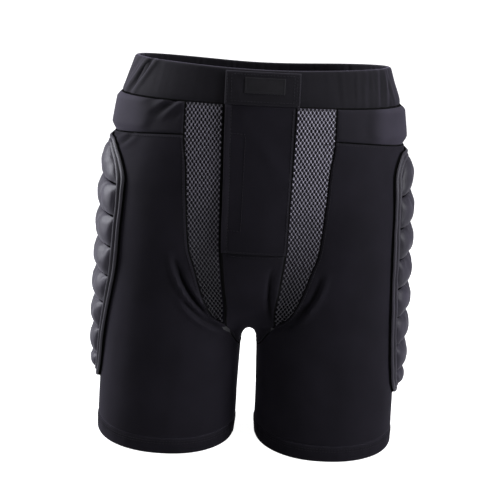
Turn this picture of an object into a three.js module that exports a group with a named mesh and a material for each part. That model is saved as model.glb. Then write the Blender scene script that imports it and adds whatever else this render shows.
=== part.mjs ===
// Padded impact shorts, in the rounded shape they take when worn.
// Millimetres, +Z up. The front faces -Y and the wearer's right side is at -X.
// The origin is the bottom centre of the bounding box, so both hems stand on z = 0.
import * as THREE from "three";

// ---------------------------------------------------------------- driving dimensions
const BODY_Y = -10.8; // where the body's own axis lies, from the middle of the bounding box
const FABRIC = 2; // stretch fabric with its lining
const SEAM = 0.4; // half the clearance left between two pieces that are sewn edge to edge
const LAP = 0.3; // clearance between pieces that lie on each other

const HEM_HEIGHT = 20; // turned-up hem at the end of each leg
const HEM_WALL = 4;
const STRIP_TIP = 160; // height of the lower tips of the two mesh strips
const FLY_SEAM = 255; // seam under the fly flap
const GUSSET_TIP = 235; // height of the gusset's point at the back
const GUSSET_HALF_WIDTH = 24; // at the crotch, measured over the cloth
const YOKE_SEAM = 377; // lower seam of the yokes, at the side
const YOKE_RISE = 9; // how much higher that seam is where the front meets the mesh
const WAIST_SEAM = 423;
const WAIST_TOP = 458; // mean height of the waistband's top edge
const WAIST_TOP_SIDE = 7; // how much higher that edge is at the sides
const WAIST_TOP_TILT = 4; // and how much higher it is in front than at the mean
const WAIST_WALL = 6; // folded waistband with the elastic inside
const CASING = 1.2; // one layer of the waistband
const WAIST_JOIN = 30; // where the front halves of the waistband meet, under the tab

const LEG_AXIS = 93; // upright line each leg's panels are laid out around
const LEG_RADIUS = 88; // rough distance from that line to the cloth
const FLAP_HINGE_EDGE = 38; // the fly flap's sewn edge, on the wearer's left
const TAB_HALF_WIDTH = 42;
const TAB_TOP = 459.5;
const TAB_CLOTH = 2; // doubled fabric of the waist tab
const PATCH = 0.8; // moulded patch on the tab
const TAPE = 0.9; // hook or loop tape in the fly
const WAIST_TAPE = 0.7; // and the thinner tape under the tab
const UNDERLAP = 1.8; // thin fabric behind the fly
const ELASTIC = 1.8;

const PAD_LIFT = 1.6; // clearance between a pad's backing and the panel behind it
const BACKING = 0.8;
const FOAM_EDGE = 0.8; // foam thickness at a pad's rim and in its grooves
const FOAM_CROWN = 8; // foam thickness on top of a rib
const COVER_GAP = 0.8; // clearance between the foam and its cover
const COVER = 1.4; // moulded fabric over the foam
const BINDING_WIDTH = 8; // tape sewn around a pad's edge
const BINDING_HEIGHT = 4.2;
const BINDING_GAP = 1.2; // clearance between the tape and the cloth inside it
const YOKE_BULGE = 5; // how far the front yokes swell over the hip pads
const HIP_LINING = 1;

const LEFT = 1; // the wearer's sides, as signs of x
const RIGHT = -1;

// ---------------------------------------------------------------- the body's surface
// A smooth curve through [position, value] knots, level beyond its ends.
function profile(knots) {
  const last = knots.length - 1;
  const slopes = knots.map((_, i) => {
    const a = knots[Math.max(i - 1, 0)];
    const b = knots[Math.min(i + 1, last)];
    return (b[1] - a[1]) / (b[0] - a[0]);
  });
  return (at) => {
    const z = Math.min(Math.max(at, knots[0][0]), knots[last][0]);
    let i = 1;
    while (i < last && z > knots[i][0]) i += 1;
    const [z0, v0] = knots[i - 1];
    const [z1, v1] = knots[i];
    const h = z1 - z0;
    const t = (z - z0) / h;
    const rise = v0 * (2 * t ** 3 - 3 * t ** 2 + 1) + v1 * (3 * t ** 2 - 2 * t ** 3);
    return rise + h * (slopes[i - 1] * (t ** 3 - 2 * t ** 2 + t) + slopes[i] * (t ** 3 - t ** 2));
  };
}

// Each leg is an upright tube of rounded section that dies away inside the hips.
const legCentre = profile([
  [0, 97.5], [120, 95], [200, 91.5], [300, 84.5], [340, 80.5], [400, 70], [465, 60],
]);
const legHalfWidth = profile([
  [0, 85], [120, 85.5], [200, 87.5], [300, 91], [340, 91], [400, 82], [465, 62],
]);
const legFront = profile([[0, 88], [100, 95], [200, 104], [290, 112], [350, 105], [465, 70]]);
const legBack = profile([[0, 92], [100, 101], [200, 119], [280, 132], [350, 123], [465, 75]]);

// The hips and waist are one wider tube that closes in a rounded bowl at the crotch.
const hipHalfWidth = profile([
  [290, 96], [315, 126], [340, 152], [362, 167], [385, 169], [425, 164], [450, 155], [465, 150],
]);
const hipFront = profile([[290, 119], [340, 119], [385, 118], [425, 114], [465, 107]]);
const hipBack = profile([[290, 127], [340, 130], [385, 126], [425, 119], [465, 111]]);
const BOWL_TOP = 300;
const BOWL_DEPTH = 150;
const BOWL_POWER = 2.6;
const SECTION_POWER = 2.3;
const BLEND = 22; // width of the soft fillet between the tubes

function tube(x, y, a, b, extra) {
  const sum = (Math.abs(x) / a) ** SECTION_POWER + (Math.abs(y) / b) ** SECTION_POWER + extra;
  return (sum ** (1 / SECTION_POWER) - 1) * 0.5 * (a + b);
}

function softMinimum(a, b) {
  const h = Math.max(BLEND - Math.abs(a - b), 0) / BLEND;
  return Math.min(a, b) - (h * h * BLEND) / 4;
}

// Below 0 inside the body and above 0 outside it, roughly in millimetres.
function field(x, y, z) {
  const depth = y < 0 ? legFront(z) : legBack(z);
  const near = tube(x - legCentre(z), y, legHalfWidth(z), depth, 0);
  const far = tube(x + legCentre(z), y, legHalfWidth(z), depth, 0);
  const bowl = (Math.max(BOWL_TOP - z, 0) / BOWL_DEPTH) ** BOWL_POWER;
  const hips = tube(x, y, hipHalfWidth(z), y < 0 ? hipFront(z) : hipBack(z), bowl);
  return softMinimum(softMinimum(near, far), hips);
}

const vector = (x, y, z) => new THREE.Vector3(x, y, z);
const mix = (a, b, t) => a + (b - a) * t;
const spaced = (count) => Array.from({ length: count + 1 }, (_, i) => i / count);

function normalAt(p) {
  const e = 0.5;
  return vector(
    field(p.x + e, p.y, p.z) - field(p.x - e, p.y, p.z),
    field(p.x, p.y + e, p.z) - field(p.x, p.y - e, p.z),
    field(p.x, p.y, p.z + e) - field(p.x, p.y, p.z - e),
  ).normalize();
}

// Walks from a start along a direction until it crosses the surface.
function crossing(start, direction) {
  const value = (t) =>
    field(start.x + direction.x * t, start.y + direction.y * t, start.z + direction.z * t);
  const inside = value(0) < 0;
  let far = 4;
  while (value(far) < 0 === inside && far < 400) far += 4;
  let near = far - 4;
  for (let i = 0; i < 22; i += 1) {
    const middle = (near + far) / 2;
    if (value(middle) < 0 === inside) near = middle;
    else far = middle;
  }
  return start.clone().addScaledVector(direction, near);
}

// Ways to reach a point of the surface: around an upright axis, or straight from one side.
const around = (axis, angle, z) =>
  crossing(vector(axis, 0, z), vector(Math.cos(angle), Math.sin(angle), 0));
const fromFront = (x, z) => crossing(vector(x, -200, z), vector(0, 1, 0));
const fromBack = (x, z) => crossing(vector(x, 200, z), vector(0, -1, 0));
const fromOutside = (y, z) => crossing(vector(240, y, z), vector(-1, 0, 0));

// Walks over the surface in the plane through p whose normal is given.
function walk(p, planeNormal, distance) {
  const steps = Math.max(2, Math.ceil(Math.abs(distance) / 2.5));
  const at = p.clone();
  for (let i = 0; i < steps; i += 1) {
    const n = normalAt(at);
    const along = vector(0, 0, 0).crossVectors(planeNormal, n).normalize();
    at.addScaledVector(along, distance / steps);
    for (let k = 0; k < 3; k += 1) {
      const m = normalAt(at);
      m.addScaledVector(planeNormal, -m.dot(planeNormal));
      const e = 0.5;
      const ahead = field(at.x + m.x * e, at.y + m.y * e, at.z + m.z * e);
      const value = field(at.x, at.y, at.z);
      at.addScaledVector(m, (-value * e) / (ahead - value));
    }
  }
  return at;
}

// ---------------------------------------------------------------- closed solids
// Every quad is split from its first corner, so layers that lie on each other share their
// creases. The finished mesh is turned to face out.
function solid(points, quads, triangles, side) {
  const all = [...triangles, ...quads.flatMap(([a, b, c, d]) => [[a, b, c], [a, c, d]])];
  let volume = 0;
  for (const [a, b, c] of all) {
    volume += points[a].dot(vector(0, 0, 0).crossVectors(points[b], points[c]));
  }
  const outward = volume * side > 0;
  const index = all.flatMap(([a, b, c]) => (outward ? [a, b, c] : [a, c, b]));
  const flat = points.flatMap((p) => [p.x * side, p.y + BODY_Y, p.z]);
  const geometry = new THREE.BufferGeometry();
  geometry.setAttribute("position", new THREE.Float32BufferAttribute(flat, 3));
  geometry.setIndex(index);
  geometry.computeVertexNormals();
  return geometry;
}

const valueOf = (f, u, v) => (typeof f === "function" ? f(u, v) : f);

// A sheet over a patch of the surface. site(u, v) is the point there; low and high are the
// heights of its two faces over the surface.
function sheet(site, columns, rows, low, high, side = LEFT) {
  const us = Array.isArray(columns) ? columns : spaced(columns);
  const vs = Array.isArray(rows) ? rows : spaced(rows);
  const points = [];
  const spots = vs.flatMap((v) => us.map((u) => ({ u, v, p: site(u, v) })));
  for (const spot of spots) spot.n = normalAt(spot.p);
  for (const face of [low, high]) {
    for (const { u, v, p, n } of spots) {
      points.push(p.clone().addScaledVector(n, valueOf(face, u, v)));
    }
  }
  const nu = us.length;
  const nv = vs.length;
  const id = (layer, j, i) => layer * nu * nv + j * nu + i;
  const quads = [];
  for (let j = 0; j < nv - 1; j += 1) {
    for (let i = 0; i < nu - 1; i += 1) {
      quads.push([id(0, j, i), id(0, j + 1, i), id(0, j + 1, i + 1), id(0, j, i + 1)]);
      quads.push([id(1, j, i), id(1, j, i + 1), id(1, j + 1, i + 1), id(1, j + 1, i)]);
    }
  }
  const rim = [
    ...us.slice(1).map((_, i) => [0, i]),
    ...vs.slice(1).map((_, j) => [j, nu - 1]),
    ...us.slice(1).map((_, i) => [nv - 1, nu - 1 - i]),
    ...vs.slice(1).map((_, j) => [nv - 1 - j, 0]),
  ];
  rim.forEach(([j, i], k) => {
    const [j2, i2] = rim[(k + 1) % rim.length];
    quads.push([id(0, j, i), id(0, j2, i2), id(1, j2, i2), id(1, j, i)]);
  });
  return solid(points, quads, [], side);
}

// A section carried along a row of stations, each the section's points in order. The ends
// are closed by the section's outline; with no outline the last station meets the first.
function sweep(stations, side, outline) {
  const size = stations[0].length;
  const steps = stations.length - (outline ? 1 : 0);
  const quads = [];
  for (let s = 0; s < steps; s += 1) {
    const next = (s + 1) % stations.length;
    for (let k = 0; k < size; k += 1) {
      const k2 = (k + 1) % size;
      quads.push([s * size + k, s * size + k2, next * size + k2, next * size + k]);
    }
  }
  const triangles = [];
  if (outline) {
    const end = (stations.length - 1) * size;
    const flat = outline.map(([x, y]) => new THREE.Vector2(x, y));
    for (const [a, b, c] of THREE.ShapeUtils.triangulateShape(flat, [])) {
      triangles.push([a, c, b], [end + a, end + b, end + c]);
    }
  }
  return solid(stations.flat(), quads, triangles, side);
}

// ---------------------------------------------------------------- where the seams run
const seamHeight = (y) => YOKE_SEAM + YOKE_RISE * (y / 105) ** 2;
const waistTop = (angle) =>
  WAIST_TOP + WAIST_TOP_SIDE * Math.cos(angle) ** 2 - WAIST_TOP_TILT * Math.sin(angle);

// The mesh strips' two edges, as distances from the middle of the front.
const stripInner = profile([
  [STRIP_TIP, 28], [188, 29], [210, 32], [257, 36.6], [314, 37.5], [392, 39], [425, 39.5],
]);
const stripOuter = profile([
  [STRIP_TIP, 28], [172, 42], [188, 52], [210, 60], [237, 68], [257, 74], [314, 79], [352, 81],
  [380, 84.5], [427, 84.5],
]);

// The gusset follows a curve down from the front, under the crotch and up the back.
const GUSSET_PIVOT = vector(0, 0, 215);
const gussetFrontTip = fromFront(0, STRIP_TIP);
const gussetBackTip = fromBack(0, GUSSET_TIP);
const pivotAngle = (p) => Math.atan2(p.z - GUSSET_PIVOT.z, p.y - GUSSET_PIVOT.y);
const START_ANGLE = pivotAngle(gussetFrontTip);
const END_ANGLE = pivotAngle(gussetBackTip);

// The row of a level section from the middle to a distance x, as a length over the cloth.
function levelLength(x, z) {
  let length = 0;
  let before = fromFront(0, z);
  for (let i = 1; i <= 20; i += 1) {
    const p = fromFront((x * i) / 20, z);
    length += p.distanceTo(before);
    before = p;
  }
  return length;
}
const TIP_LENGTH = levelLength(stripInner(STRIP_TIP), STRIP_TIP);
const gussetWidth = profile([
  [0, TIP_LENGTH], [0.12, mix(TIP_LENGTH, GUSSET_HALF_WIDTH, 0.6)], [0.3, GUSSET_HALF_WIDTH],
  [0.62, GUSSET_HALF_WIDTH * 0.9], [1, 2],
]);

// A point of the gusset: t runs from the front tip (0) to the back point (1), and the
// distance is measured from the middle over the cloth.
function gussetPoint(t, distance) {
  const angle = mix(START_ANGLE, END_ANGLE, t);
  const centre = crossing(GUSSET_PIVOT, vector(0, Math.cos(angle), Math.sin(angle)));
  const n = normalAt(centre);
  const turned = Math.min(t / 0.3, 1);
  const across = vector(0, 0, turned - 1).addScaledVector(vector(0, -n.z, n.y), turned);
  return walk(centre, across.normalize(), -distance);
}

const FAN = spaced(12);
const gussetEdge = FAN.map((t) => gussetPoint(t, gussetWidth(t) + SEAM));
const LOWEST = gussetEdge.reduce((best, p, i) => (p.z < gussetEdge[best].z ? i : best), 0);

// Going up the leg, the inner boundary of a leg's panels: the inseam, then the gusset's edge,
// then the mesh strip in front or the centre seam behind.
const legAngle = (p) => Math.atan2(p.y, p.x - LEG_AXIS);
const turn = (angle) => (angle < 0 ? angle + 2 * Math.PI : angle);
const INSEAM_TOP = turn(legAngle(gussetEdge[LOWEST]));
const LEG_BOTTOM = HEM_HEIGHT + SEAM;
const INSEAM_HEIGHT = gussetEdge[LOWEST].z - LEG_BOTTOM;
const inseam = (z) => mix(Math.PI, INSEAM_TOP, (z - LEG_BOTTOM) / INSEAM_HEIGHT);
const SEAM_ANGLE = SEAM / LEG_RADIUS; // half a seam's clearance, seen from the leg's axis

// Rows near the top of a leg panel bend to follow the yokes' lower seam, so at the mesh strip
// they lie higher than at the side.
const BEND_FROM = 300;
const bend = (z) => Math.max(0, (z - BEND_FROM) / (YOKE_SEAM - SEAM - BEND_FROM));
const raised = (z) => z + (seamHeight(fromFront(stripOuter(z), z).y) - YOKE_SEAM) * bend(z);
const stripLevels = [174, 190, 212, 235, 257, 285, 314, 340, 360, YOKE_SEAM - SEAM];

const legRows = [LEG_BOTTOM, 52, 86];
const frontRows = [
  ...legRows.map((z) => ({ z, end: inseam(z) + SEAM_ANGLE })),
  ...gussetEdge.slice(0, LOWEST + 1).reverse().map((p, i) => (
    { z: p.z, end: turn(legAngle(p)) + (i === 0 ? SEAM_ANGLE : 0) })),
  ...stripLevels.map((z) => (
    { z, end: turn(legAngle(fromFront(stripOuter(raised(z)) + SEAM, raised(z)))) })),
];
const backRows = [
  ...legRows.map((z) => ({ z, end: inseam(z) - SEAM_ANGLE })),
  ...gussetEdge.slice(LOWEST).map((p, i) => (
    { z: p.z, end: turn(legAngle(p)) - (i === 0 ? SEAM_ANGLE : 0) })),
  ...[260, 285, 314, 340, 360, YOKE_SEAM - SEAM].map((z) => (
    { z, end: turn(legAngle(fromBack(SEAM, z))) })),
];

// A point of a leg panel, from its side seam (u = 0) to its inner boundary (u = 1).
function legPoint(row, u, sideAngle) {
  const angle = mix(sideAngle, row.end, u);
  const level = around(LEG_AXIS, angle, row.z);
  return around(LEG_AXIS, angle, row.z + (seamHeight(level.y) - YOKE_SEAM) * bend(row.z));
}

// ---------------------------------------------------------------- the shorts' materials
const materials = {
  shell: { color: 0x24242b, roughness: 0.82 },
  mesh: { color: 0x3a3a42, roughness: 0.7 },
  gusset: { color: 0x202026, roughness: 0.85 },
  hem: { color: 0x1e1e24, roughness: 0.85 },
  pad: { color: 0x2a2a33, roughness: 0.6 },
  binding: { color: 0x17171b, roughness: 0.75 },
  foam: { color: 0x55565c, roughness: 0.95 },
  backing: { color: 0x303036, roughness: 0.9 },
  elastic: { color: 0x2e2e33, roughness: 0.8 },
  tape: { color: 0x18181b, roughness: 0.95 },
  patch: { color: 0x3c3c42, roughness: 0.45 },
};

const group = new THREE.Group();

function add(name, material, geometry) {
  const { color, roughness } = materials[material];
  const mesh = new THREE.Mesh(
    geometry,
    new THREE.MeshStandardMaterial({ color, roughness, metalness: 0, name: material }),
  );
  mesh.name = name;
  group.add(mesh);
}

// Adds the same piece for both sides of the wearer.
function addPair(name, material, build) {
  add(`${name}_right`, material, build(RIGHT));
  add(`${name}_left`, material, build(LEFT));
}

// ---------------------------------------------------------------- legs, gusset and hems
const rowIndex = (rows) => rows.map((_, i) => i);
addPair("front_leg_panel", "shell", (side) => sheet(
  (u, v) => legPoint(frontRows[v], u, 2 * Math.PI - SEAM_ANGLE),
  10, rowIndex(frontRows), -FABRIC, 0, side,
));
addPair("back_leg_panel", "shell", (side) => sheet(
  (u, v) => legPoint(backRows[v], u, SEAM_ANGLE),
  12, rowIndex(backRows), -FABRIC, 0, side,
));

// The gusset's rows are level in front, between the mesh strips, and then fan under the crotch.
const frontGussetRows = [FLY_SEAM - SEAM, 235, 212, 190, 174];
const GUSSET_COLUMNS = Array.from({ length: 9 }, (_, i) => i / 4 - 1);
function gussetSite(u, v) {
  if (v < frontGussetRows.length) {
    const z = frontGussetRows[v];
    return fromFront(u * (stripInner(z) - SEAM), z);
  }
  const t = FAN[v - frontGussetRows.length];
  const p = gussetPoint(t, Math.abs(u) * (gussetWidth(t) - SEAM));
  return u < 0 ? p.setX(-p.x) : p;
}
add("crotch_gusset", "gusset", sheet(
  gussetSite, GUSSET_COLUMNS, rowIndex([...frontGussetRows, ...FAN]), -FABRIC, 0,
));

// A ring around one leg, with its faces square to the floor.
const HEM_TOP = HEM_HEIGHT - SEAM;
const hemSection = [[0, 0], [0, HEM_TOP], [-HEM_WALL, HEM_TOP], [-HEM_WALL, 0]];
addPair("hem", "hem", (side) => {
  const stations = spaced(40).slice(0, -1).map((u) => hemSection.map(([out, z]) => {
    const angle = u * 2 * Math.PI;
    const p = around(LEG_AXIS, angle, z);
    const n = normalAt(p).setZ(0).normalize();
    return p.addScaledVector(n, out);
  }));
  return sweep(stations, side);
});

// ---------------------------------------------------------------- front: mesh, fly and yokes
const stripRows = [STRIP_TIP + 3, ...stripLevels.map(raised), 404, WAIST_SEAM - SEAM];
addPair("mesh_panel", "mesh", (side) => sheet(
  (u, z) => fromFront(mix(stripInner(z) + SEAM, stripOuter(z) - SEAM, u), z),
  4, stripRows, -FABRIC, 0, side,
));

const flyRows = [FLY_SEAM + SEAM, 285, 314, 340, 368, 396, WAIST_SEAM - SEAM];
const flapHalfWidth = (z) => stripInner(z) - SEAM;
const FLAP_LOW = LAP;
const FLAP_HIGH = FLAP_LOW + FABRIC;
// Behind the flap's own layer lie its hook tape, the loop tape and the underlap.
const HOOK_HIGH = -LAP;
const LOOP_HIGH = HOOK_HIGH - TAPE - LAP;
const UNDERLAP_HIGH = LOOP_HIGH - TAPE - LAP;
add("fly_flap", "shell", sheet(
  (u, z) => fromFront(mix(-flapHalfWidth(z), Math.min(flapHalfWidth(z), FLAP_HINGE_EDGE), u), z),
  6, flyRows, FLAP_LOW, FLAP_HIGH,
));
add("fly_underlap", "shell", sheet(
  (u, z) => fromFront(mix(-flapHalfWidth(z), WAIST_JOIN, u), z),
  6, flyRows, UNDERLAP_HIGH - UNDERLAP, UNDERLAP_HIGH,
));
// A patch seen straight from the front, between two distances from the middle and two heights.
const front = (x0, x1, z0, z1) => (u, v) => fromFront(mix(x0, x1, u), mix(z0, z1, v));
const flyTape = front(-34, -16, 283, 391);
add("fly_hook_tape", "tape", sheet(flyTape, 2, 5, HOOK_HIGH - TAPE, HOOK_HIGH));
add("fly_loop_tape", "tape", sheet(flyTape, 2, 5, LOOP_HIGH - TAPE, LOOP_HIGH));

// The front yokes bulge over a foam pad in front of each hip bone.
const dome = (u, low, high) => {
  const t = (u - low) / (high - low);
  return t <= 0 || t >= 1 ? 0 : Math.sin(Math.PI * t) ** 0.8;
};
const yokeBulge = (u, v) => YOKE_BULGE * dome(u, 0.22, 0.96) * dome(v, 0.06, 0.96);
const bodyAngle = (p) => Math.atan2(p.y, p.x);
function yokePoint(u, v, innerAngle, sideAngle) {
  const guess = mix(YOKE_SEAM, WAIST_SEAM, v);
  const angle = mix(innerAngle(guess), sideAngle, u);
  const { y } = around(0, angle, guess);
  return around(0, angle, mix(seamHeight(y) + SEAM, WAIST_SEAM - SEAM, v));
}
const yokeSide = SEAM / 168; // the side seam's clearance, seen from the body's axis
function stripAngle(guess, v) {
  const z = guess + (seamHeight(fromFront(stripOuter(guess), guess).y) - YOKE_SEAM) * (1 - v);
  return bodyAngle(fromFront(stripOuter(z) + SEAM, z));
}
const frontYoke = (u, v) => yokePoint(u, v, (z) => stripAngle(z, v), -yokeSide);
addPair("yoke_panel", "shell", (side) => sheet(
  frontYoke, 14, 7, (u, v) => yokeBulge(u, v) - FABRIC, yokeBulge, side,
));
const hipPadSpot = (u, v) => [mix(0.25, 0.93, u), mix(0.1, 0.92, v)];
const hipPadSite = (u, v) => frontYoke(...hipPadSpot(u, v));
const HIP_PAD_LOW = -4.4;
addPair("hip_pad", "foam", (side) => sheet(
  hipPadSite, 10, 6, HIP_PAD_LOW,
  (u, v) => yokeBulge(...hipPadSpot(u, v)) - FABRIC - COVER_GAP, side,
));
addPair("hip_pad_lining", "backing", (side) => sheet(
  hipPadSite, 10, 6, HIP_PAD_LOW - LAP - HIP_LINING, HIP_PAD_LOW - LAP, side,
));

add("back_yoke", "shell", sheet(
  (u, v) => {
    const half = Math.abs(u);
    const p = yokePoint(half, v, () => Math.PI / 2, yokeSide);
    return u < 0 ? p.setX(-p.x) : p;
  },
  Array.from({ length: 25 }, (_, i) => i / 12 - 1), 4, -FABRIC, 0,
));

// ---------------------------------------------------------------- waistband
const CASING_LOW = WAIST_SEAM + SEAM;
// Each casing is one strip of fabric folded over at the top, so it is open at the bottom.
// A corner of its section is its distance out and how far it lies under the top edge.
const TO_SEAM = Infinity;
const casingSection = [
  [0, TO_SEAM], [0, 0], [-WAIST_WALL, 0], [-WAIST_WALL, TO_SEAM],
  [CASING - WAIST_WALL, TO_SEAM], [CASING - WAIST_WALL, CASING], [-CASING, CASING],
  [-CASING, TO_SEAM],
];
const bandPoint = (angle, z, out) => {
  const p = around(0, angle, z);
  return p.addScaledVector(normalAt(p).setZ(0).normalize(), out);
};
const bandStations = (from, to, count, section, low) => spaced(count).map((u) => {
  const angle = mix(from, to, u);
  return section.map(([out, under]) => (
    bandPoint(angle, Math.max(low, waistTop(angle) - under), out)));
});
const outlineOf = (section, low) => (
  section.map(([out, under]) => [out, Math.max(low, WAIST_TOP - under)]));
const ELASTIC_OUT = -(WAIST_WALL - ELASTIC) / 2;
const ELASTIC_IN = ELASTIC_OUT - ELASTIC;
const ELASTIC_LOW = CASING_LOW + 2;
const elasticSection = [
  [ELASTIC_OUT, TO_SEAM], [ELASTIC_OUT, CASING + 1], [ELASTIC_IN, CASING + 1],
  [ELASTIC_IN, TO_SEAM],
];
const joinAngle = bodyAngle(fromFront(WAIST_JOIN, 440));
const JOIN_GAP = 0.004; // radians
const bandParts = [
  ["front_right", -Math.PI + yokeSide, joinAngle - JOIN_GAP, 14],
  ["front_left", joinAngle + JOIN_GAP, -yokeSide, 10],
  ["back", yokeSide, Math.PI - yokeSide, 22],
];
const ELASTIC_SHORT = 0.03; // radians that the elastic ends before its casing
for (const [name, from, to, count] of bandParts) {
  add(`waistband_${name}`, "shell", sweep(
    bandStations(from, to, count, casingSection, CASING_LOW), LEFT,
    outlineOf(casingSection, CASING_LOW),
  ));
  add(`waist_elastic_${name}`, "elastic", sweep(
    bandStations(from + ELASTIC_SHORT, to - ELASTIC_SHORT, count, elasticSection, ELASTIC_LOW),
    LEFT, outlineOf(elasticSection, ELASTIC_LOW),
  ));
}

// The tab closes the waistband in front, over two strips of hook-and-loop tape.
const tabTape = front(-38, -12, 428, 454);
const TAB_HIGH = FLAP_HIGH + TAB_CLOTH;
add("waist_loop_tape", "tape", sheet(tabTape, 3, 3, LAP, LAP + WAIST_TAPE));
add("tab_hook_tape", "tape", sheet(
  tabTape, 3, 3, FLAP_HIGH - LAP - WAIST_TAPE, FLAP_HIGH - LAP,
));
add("waist_tab", "shell", sheet(
  front(-TAB_HALF_WIDTH, TAB_HALF_WIDTH, CASING_LOW, TAB_TOP), 7, 4, FLAP_HIGH, TAB_HIGH,
));
add("tab_patch", "patch", sheet(
  front(-19, 25, 436, 453), 4, 2, TAB_HIGH + LAP, TAB_HIGH + LAP + PATCH,
));

// ---------------------------------------------------------------- protective pads
// A pad is a patch of the surface: edges(v) are its two side edges going up, ribs are the
// heights of the sewn grooves and of the first and last rib's ends, and place(p, z) puts a
// spot of the patch on the body. Every layer is the same patch with its rim moved in.
function padPoint(pad, u, v, inset) {
  const z = mix(pad.bottom + inset, pad.top - inset, v);
  const [low, high] = pad.edges(v);
  return pad.place(mix(low + inset, high - inset, u), z);
}

// Foam thickness: rounded ribs across the pad with grooves between them.
function ribHeight(pad, u, v) {
  const z = mix(pad.bottom, pad.top, v);
  const ribs = pad.ribs;
  let i = ribs.length - 2;
  while (i > 0 && z < ribs[i]) i -= 1;
  const t = (z - ribs[i]) / (ribs[i + 1] - ribs[i]);
  const size = Math.min(1, (ribs[i + 1] - ribs[i]) / 30);
  const along = Math.max(0, Math.sin(Math.PI * t)) ** 0.6;
  const across = Math.max(0, 1 - Math.abs(2 * u - 1) ** 3.5) ** 0.7;
  return FOAM_EDGE + (FOAM_CROWN - FOAM_EDGE) * size * along * across;
}

function ribRows(pad, inset) {
  const low = pad.bottom + inset;
  const high = pad.top - inset;
  const levels = pad.ribs.slice(0, -1).flatMap((z, i) => (
    [0, 0.2, 0.8].map((t) => mix(z, pad.ribs[i + 1], t))));
  const inner = levels.filter((z) => z > low + 1 && z < high - 1);
  return [low, ...inner, high].map((z) => (z - low) / (high - low));
}

const rimRows = [0, 0.05, 0.12, 0.25, 0.38, 0.5, 0.62, 0.75, 0.88, 0.95, 1];
const PAD_FOAM = PAD_LIFT + BACKING + 1;
function addPad(name, pad, side) {
  const layer = (inset) => (u, v) => padPoint(pad, u, v, inset);
  const whole = (inset, v) => mix(inset, pad.top - pad.bottom - inset, v) / (pad.top - pad.bottom);
  const rim = BINDING_WIDTH + BINDING_GAP;
  const core = rim + 1.5;
  const foam = (u, v) => PAD_FOAM + 0.85 * ribHeight(pad, u, whole(core, v));
  const cover = (u, v) => PAD_FOAM + COVER_GAP + ribHeight(pad, u, whole(rim, v));
  const columns = [0, 0.12, 0.37, 0.63, 0.88, 1];
  add(`${name}_backing`, "backing", sheet(
    layer(rim), columns, rimRows, PAD_LIFT, PAD_LIFT + BACKING, side));
  add(`${name}_foam`, "foam", sheet(
    layer(core), columns, ribRows(pad, core), PAD_FOAM, foam, side));
  add(`${name}_cover`, "pad", sheet(
    layer(rim), columns, ribRows(pad, rim), cover, (u, v) => cover(u, v) + COVER, side));
  const loop = [
    ...rimRows.map((v) => [1, v]),
    ...[0.67, 0.33].map((u) => [u, 1]),
    ...rimRows.map((v) => [0, 1 - v]),
    ...[0.33, 0.67].map((u) => [u, 0]),
  ];
  const stations = loop.map(([u, v]) => {
    const outer = padPoint(pad, u, v, 0);
    const inner = padPoint(pad, u, v, BINDING_WIDTH);
    const low = [outer, inner].map((p) => p.clone().addScaledVector(normalAt(p), PAD_LIFT));
    const high = [inner, outer].map((p) => p.clone().addScaledVector(normalAt(p), BINDING_HEIGHT));
    return [...low, ...high];
  });
  add(`${name}_binding`, "binding", sweep(stations, side));
}

const roundedEnds = profile([
  [0, 0.62], [0.04, 0.84], [0.1, 0.95], [0.2, 1], [0.8, 1], [0.9, 0.95], [0.96, 0.84], [1, 0.62],
]);
const SIDE_PAD_BOTTOM = 74;
const SIDE_PAD_TOP = 370;
// The two side pads don't sit quite alike: the wearer's right one is turned to the front.
const sidePadFront = {
  right: profile([
    [74, -28], [90, -40], [139, -52], [193, -69], [245, -80], [325, -82], [348, -68],
    [360, -56], [370, -44],
  ]),
  left: profile([
    [74, -34], [90, -48], [142, -60], [198, -67], [260, -73], [318, -72], [345, -65],
    [360, -57], [370, -46],
  ]),
};
const sidePadBack = profile([[74, 44], [88, 56], [112, 60], [336, 60], [356, 54], [370, 43]]);
const sidePad = (sideName) => ({
  bottom: SIDE_PAD_BOTTOM,
  top: SIDE_PAD_TOP,
  ribs: [84, 106, 141.5, 177.5, 213, 249, 286, 323, 358],
  edges: (v) => {
    const z = mix(SIDE_PAD_BOTTOM, SIDE_PAD_TOP, v);
    return [sidePadFront[sideName](z), sidePadBack(z)];
  },
  place: fromOutside,
});
const seatPad = {
  bottom: 205,
  top: 358,
  ribs: [214, 247, 280, 313, 349],
  edges: (v) => [82 - 56 * roundedEnds(v), 82 + 46 * roundedEnds(v)],
  place: fromBack,
};
const tailbonePad = {
  bottom: 252,
  top: 374,
  ribs: [261, 295, 330, 365],
  edges: (v) => [-22 * roundedEnds(v), 22 * roundedEnds(v)],
  place: fromBack,
};
for (const [sideName, side] of [["right", RIGHT], ["left", LEFT]]) {
  addPad(`side_pad_${sideName}`, sidePad(sideName), side);
  addPad(`seat_pad_${sideName}`, seatPad, side);
}
addPad("tailbone_pad", tailbonePad, LEFT);

export default group;
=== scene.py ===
"""Padded impact shorts: the visual model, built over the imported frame.

Lengths are in millimetres while a surface is laid out, and in metres once it is a mesh.
The front faces -Y, +Z is up and the wearer's right side is at -X.
"""
import math

import bmesh
import bpy
import numpy as np
from mathutils import Matrix, Vector


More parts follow.
